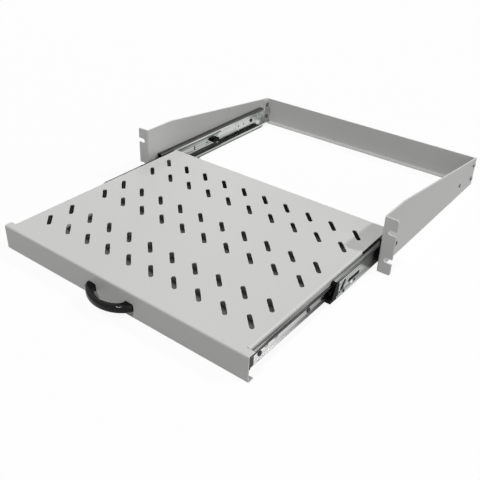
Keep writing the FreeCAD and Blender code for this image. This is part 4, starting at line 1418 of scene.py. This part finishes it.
@dataclass
class MiddleLatches:
    """Latch pieces and rivet heads on the outside of a middle member's web."""

    hand: str
    seat: float = 216.10 * MM
    face: float = 216.40 * MM
    easing: float = 0.15 * MM
    pieces: tuple[Latch, ...] = (
        Latch("key_latch", (-75.0, 21.4), (-50.5, 21.2), 3.0, SLIDE_BLACK),
        Latch("stop_lip", (-104.3, 13.2), (-104.3, 32.4), 1.9, SLIDE_BLACK),
        Latch("front_latch", (-95.5, 18.8), (-88.0, 27.6), 2.7, SLIDE_BLACK),
        Latch("front_rivet", (-88.1, 11.4), (-87.9, 11.6), 2.6, SLIDE_BLACK),
        Latch("lower_rivet", (-60.1, 14.5), (-59.9, 14.7), 2.2, SLIDE_BLACK),
        Latch("key_rivet", (-68.1, 15.7), (-67.9, 15.9), 2.5, NUT_STEEL),
    )

    def build(self) -> None:
        """Models each piece from a disc that is drawn long, drawn out and eased at its rim."""
        side = HANDS[self.hand]
        outside = self.face - TINY
        for piece in self.pieces:
            low, high = (
                Vector((side * self.seat, along * MM, level * MM))
                for along, level in (piece.low, piece.high)
            )
            way = high - low
            blank = Blank(f"{self.hand}_{piece.name}", Start.CIRCLE, vertices=ROUND_SIDES,
                          radius=piece.radius * MM, fill_type="NGON",
                          rotation=(0.0, math.pi / 2, 0.0), location=low)
            blank.pick(Pick.POINTS, lambda point: (point.co - low).dot(way) > 0).move(way)
            blank.pick(Pick.FACES).extrude((side * (self.face - self.seat), 0.0, 0.0)).close()
            blank.pick(Pick.EDGES, lambda edge: all(abs(end.co.x) > outside for end in edge.verts))
            blank.bevel(self.easing, segments=2).close().smooth(degrees=40.0)
            set_on(blank.thing, f"{self.hand}_middle", piece.finish)


@dataclass
class ScrewEnds:
    """Ends of the slide screws, burred over on the outside of the plates."""

    radius: float = 3.6 * MM
    height: float = 0.35 * MM
    rim: float = 0.3
    slope: float = 0.2
    dish: float = 0.7

    def build(self) -> None:
        """Models one end and sets a copy at each screw."""
        end = drum("screw_end_master", self.radius, self.height)
        end.pick(Pick.FACES, above(self.height - TINY)).inset(self.radius * self.rim, 0.0)
        end.inset(self.radius * self.slope, -self.height * self.dish).close().smooth(degrees=30.0)
        places = [
            turned_to(Vector((side, 0.0, 0.0)), Vector((side * PLATE_OUTER, along, SLIDE_LEVEL)))
            for side in HANDS.values() for along in SLIDE_SCREWS_ALONG
        ]
        set_on(end.spread("slide_screw_ends", places), "frame", DARK_STEEL)


@dataclass
class Slide:
    """One ball-bearing slide: its members, cages, balls and plastic ends."""

    hand: str
    outer_ball: float = 5.0 * MM
    inner_ball: float = 4.6 * MM

    def dress(self) -> None:
        """Gives the solids their finishes."""
        for part, finish in SLIDE_FINISHES.items():
            finish.dress(frame["nodes"][f"{self.hand}_{part}"])
        LOG.info("%s slide is dressed", self.hand)

    def build(self) -> None:
        """Models the balls and the latches."""
        BallRows(f"{self.hand}_outer_balls", self.outer_ball).build()
        BallRows(f"{self.hand}_inner_balls", self.inner_ball).build()
        MiddleLatches(self.hand).build()


@dataclass(frozen=True)
class Viewpoint:
    """The photograph's camera. Its angles are in degrees."""

    azimuth: float = 36.597
    elevation: float = 31.963
    roll: float = -1.971
    focal_pixels: float = 660.51
    picture_pixels: float = 480.0
    sensor_mm: float = 36.0
    place: Place = (0.52495, -0.73558, 0.52357)
    clip: tuple[float, float] = (0.01, 50.0)

    def build(self) -> None:
        """Makes the camera."""
        angles = (self.azimuth, self.elevation, self.roll)
        turn, rise, roll = (math.radians(angle) for angle in angles)
        flat = math.cos(rise)
        back = Vector((math.sin(turn) * flat, -math.cos(turn) * flat, math.sin(rise)))
        level = (-back).cross(Vector((0.0, 0.0, 1.0))).normalized()
        fall = (-back).cross(level)
        right = math.cos(roll) * level + math.sin(roll) * fall
        down = -math.sin(roll) * level + math.cos(roll) * fall
        data = bpy.data.cameras.new("photo_camera")
        data.sensor_width = self.sensor_mm
        data.lens = self.focal_pixels / self.picture_pixels * self.sensor_mm
        data.clip_start, data.clip_end = self.clip
        camera = bpy.data.objects.new("photo_camera", data)
        axes = Matrix((right, -down, back)).transposed().to_4x4()
        camera.matrix_world = Matrix.Translation(self.place) @ axes
        bpy.context.scene.collection.objects.link(camera)
        bpy.context.scene.camera = camera


@dataclass(frozen=True)
class Sun:
    """A far light: the way towards it, its strength, and how wide it is in degrees."""

    name: str
    way: Place
    strength: float
    softness: float
    distance: float = 3.0


@dataclass(frozen=True)
class LightPanel:
    """A lit panel that faces a target."""

    name: str
    place: Place
    target: Place
    size: tuple[float, float]
    power: float


@dataclass
class Studio:
    """Floor, light and surroundings."""

    suns: tuple[Sun, ...] = (
        Sun("rear_light", (0.585, 0.414, 0.70), strength=1.32, softness=4.0),
        Sun("front_light", (0.02, -0.47, 0.883), strength=1.69, softness=7.0),
    )
    panels: tuple[LightPanel, ...] = (
        LightPanel("side_fill", place=(2.4, -0.7, 0.75), target=(0.0, 0.0, 0.0),
                   size=(2.0, 2.0), power=14.3),
        LightPanel("rear_strip", place=(-1.52, 1.75, 1.61), target=(-0.003, -0.297, 0.022),
                   size=(0.34, 0.12), power=3.0),
    )
    ambient: float = 0.10
    floor: PaperFloor = PaperFloor("studio_paper", None)
    floor_size: float = 9.0
    floor_cells: int = 8
    floor_level: float = -0.6 * MM

    def lamp(self, name: str, kind: str, place: Vector, way: Vector) -> bpy.types.Light:
        """Adds a lamp.

        Args:
            name: Its name.
            kind: SUN or AREA.
            place: Where it stands.
            way: The direction that it shines in.

        Returns:
            The lamp's data.
        """
        data = bpy.data.lights.new(name, kind)
        thing = bpy.data.objects.new(name, data)
        turn = way.to_track_quat("-Z", "Y").to_matrix().to_4x4()
        thing.matrix_world = Matrix.Translation(place) @ turn
        bpy.context.scene.collection.objects.link(thing)
        return data

    def lay_floor(self) -> None:
        """Lays the paper floor just under the shelf."""
        paper = Blank("studio_floor", Start.GRID, x_subdivisions=self.floor_cells,
                      y_subdivisions=self.floor_cells, size=self.floor_size,
                      location=(0.0, 0.0, self.floor_level))
        self.floor.dress(paper.thing)

    def hang_lamps(self) -> None:
        """Hangs the suns and the lit panels."""
        for sun in self.suns:
            towards = Vector(sun.way).normalized()
            lamp = self.lamp(sun.name, "SUN", towards * sun.distance, -towards)
            lamp.energy = sun.strength
            lamp.angle = math.radians(sun.softness)
        for panel in self.panels:
            place = Vector(panel.place)
            lamp = self.lamp(panel.name, "AREA", place, Vector(panel.target) - place)
            lamp.shape = "RECTANGLE"
            lamp.size, lamp.size_y = panel.size
            lamp.energy = panel.power

    def build(self) -> None:
        """Lays the floor, hangs the lamps and sets the surroundings."""
        self.lay_floor()
        self.hang_lamps()
        world = bpy.data.worlds.new("studio_surroundings")
        bpy.context.scene.world = world
        world.use_nodes = True
        nodes = Nodes(world.node_tree)
        strength = self.ambient + nodes.seen() * (1.0 - self.ambient)
        inputs = {"Color": (*WHITE, 1.0), "Strength": strength}
        sky = nodes.add("ShaderNodeBackground", None, inputs)
        nodes.add("ShaderNodeOutputWorld", None, {"Surface": sky})
        bpy.context.scene.view_settings.view_transform = "Standard"


def main() -> None:
    """Builds the camera, the shelf's looks and the studio."""
    logging.basicConfig(level=logging.INFO, format="%(name)s: %(message)s")
    Viewpoint().build()
    SheetMetal().dress()
    BowHandle().build()
    for hand in HANDS:
        slide = Slide(hand)
        slide.dress()
        slide.build()
    Fasteners().build()
    ScrewEnds().build()
    Studio().build()


if __name__ == "__main__":
    main()
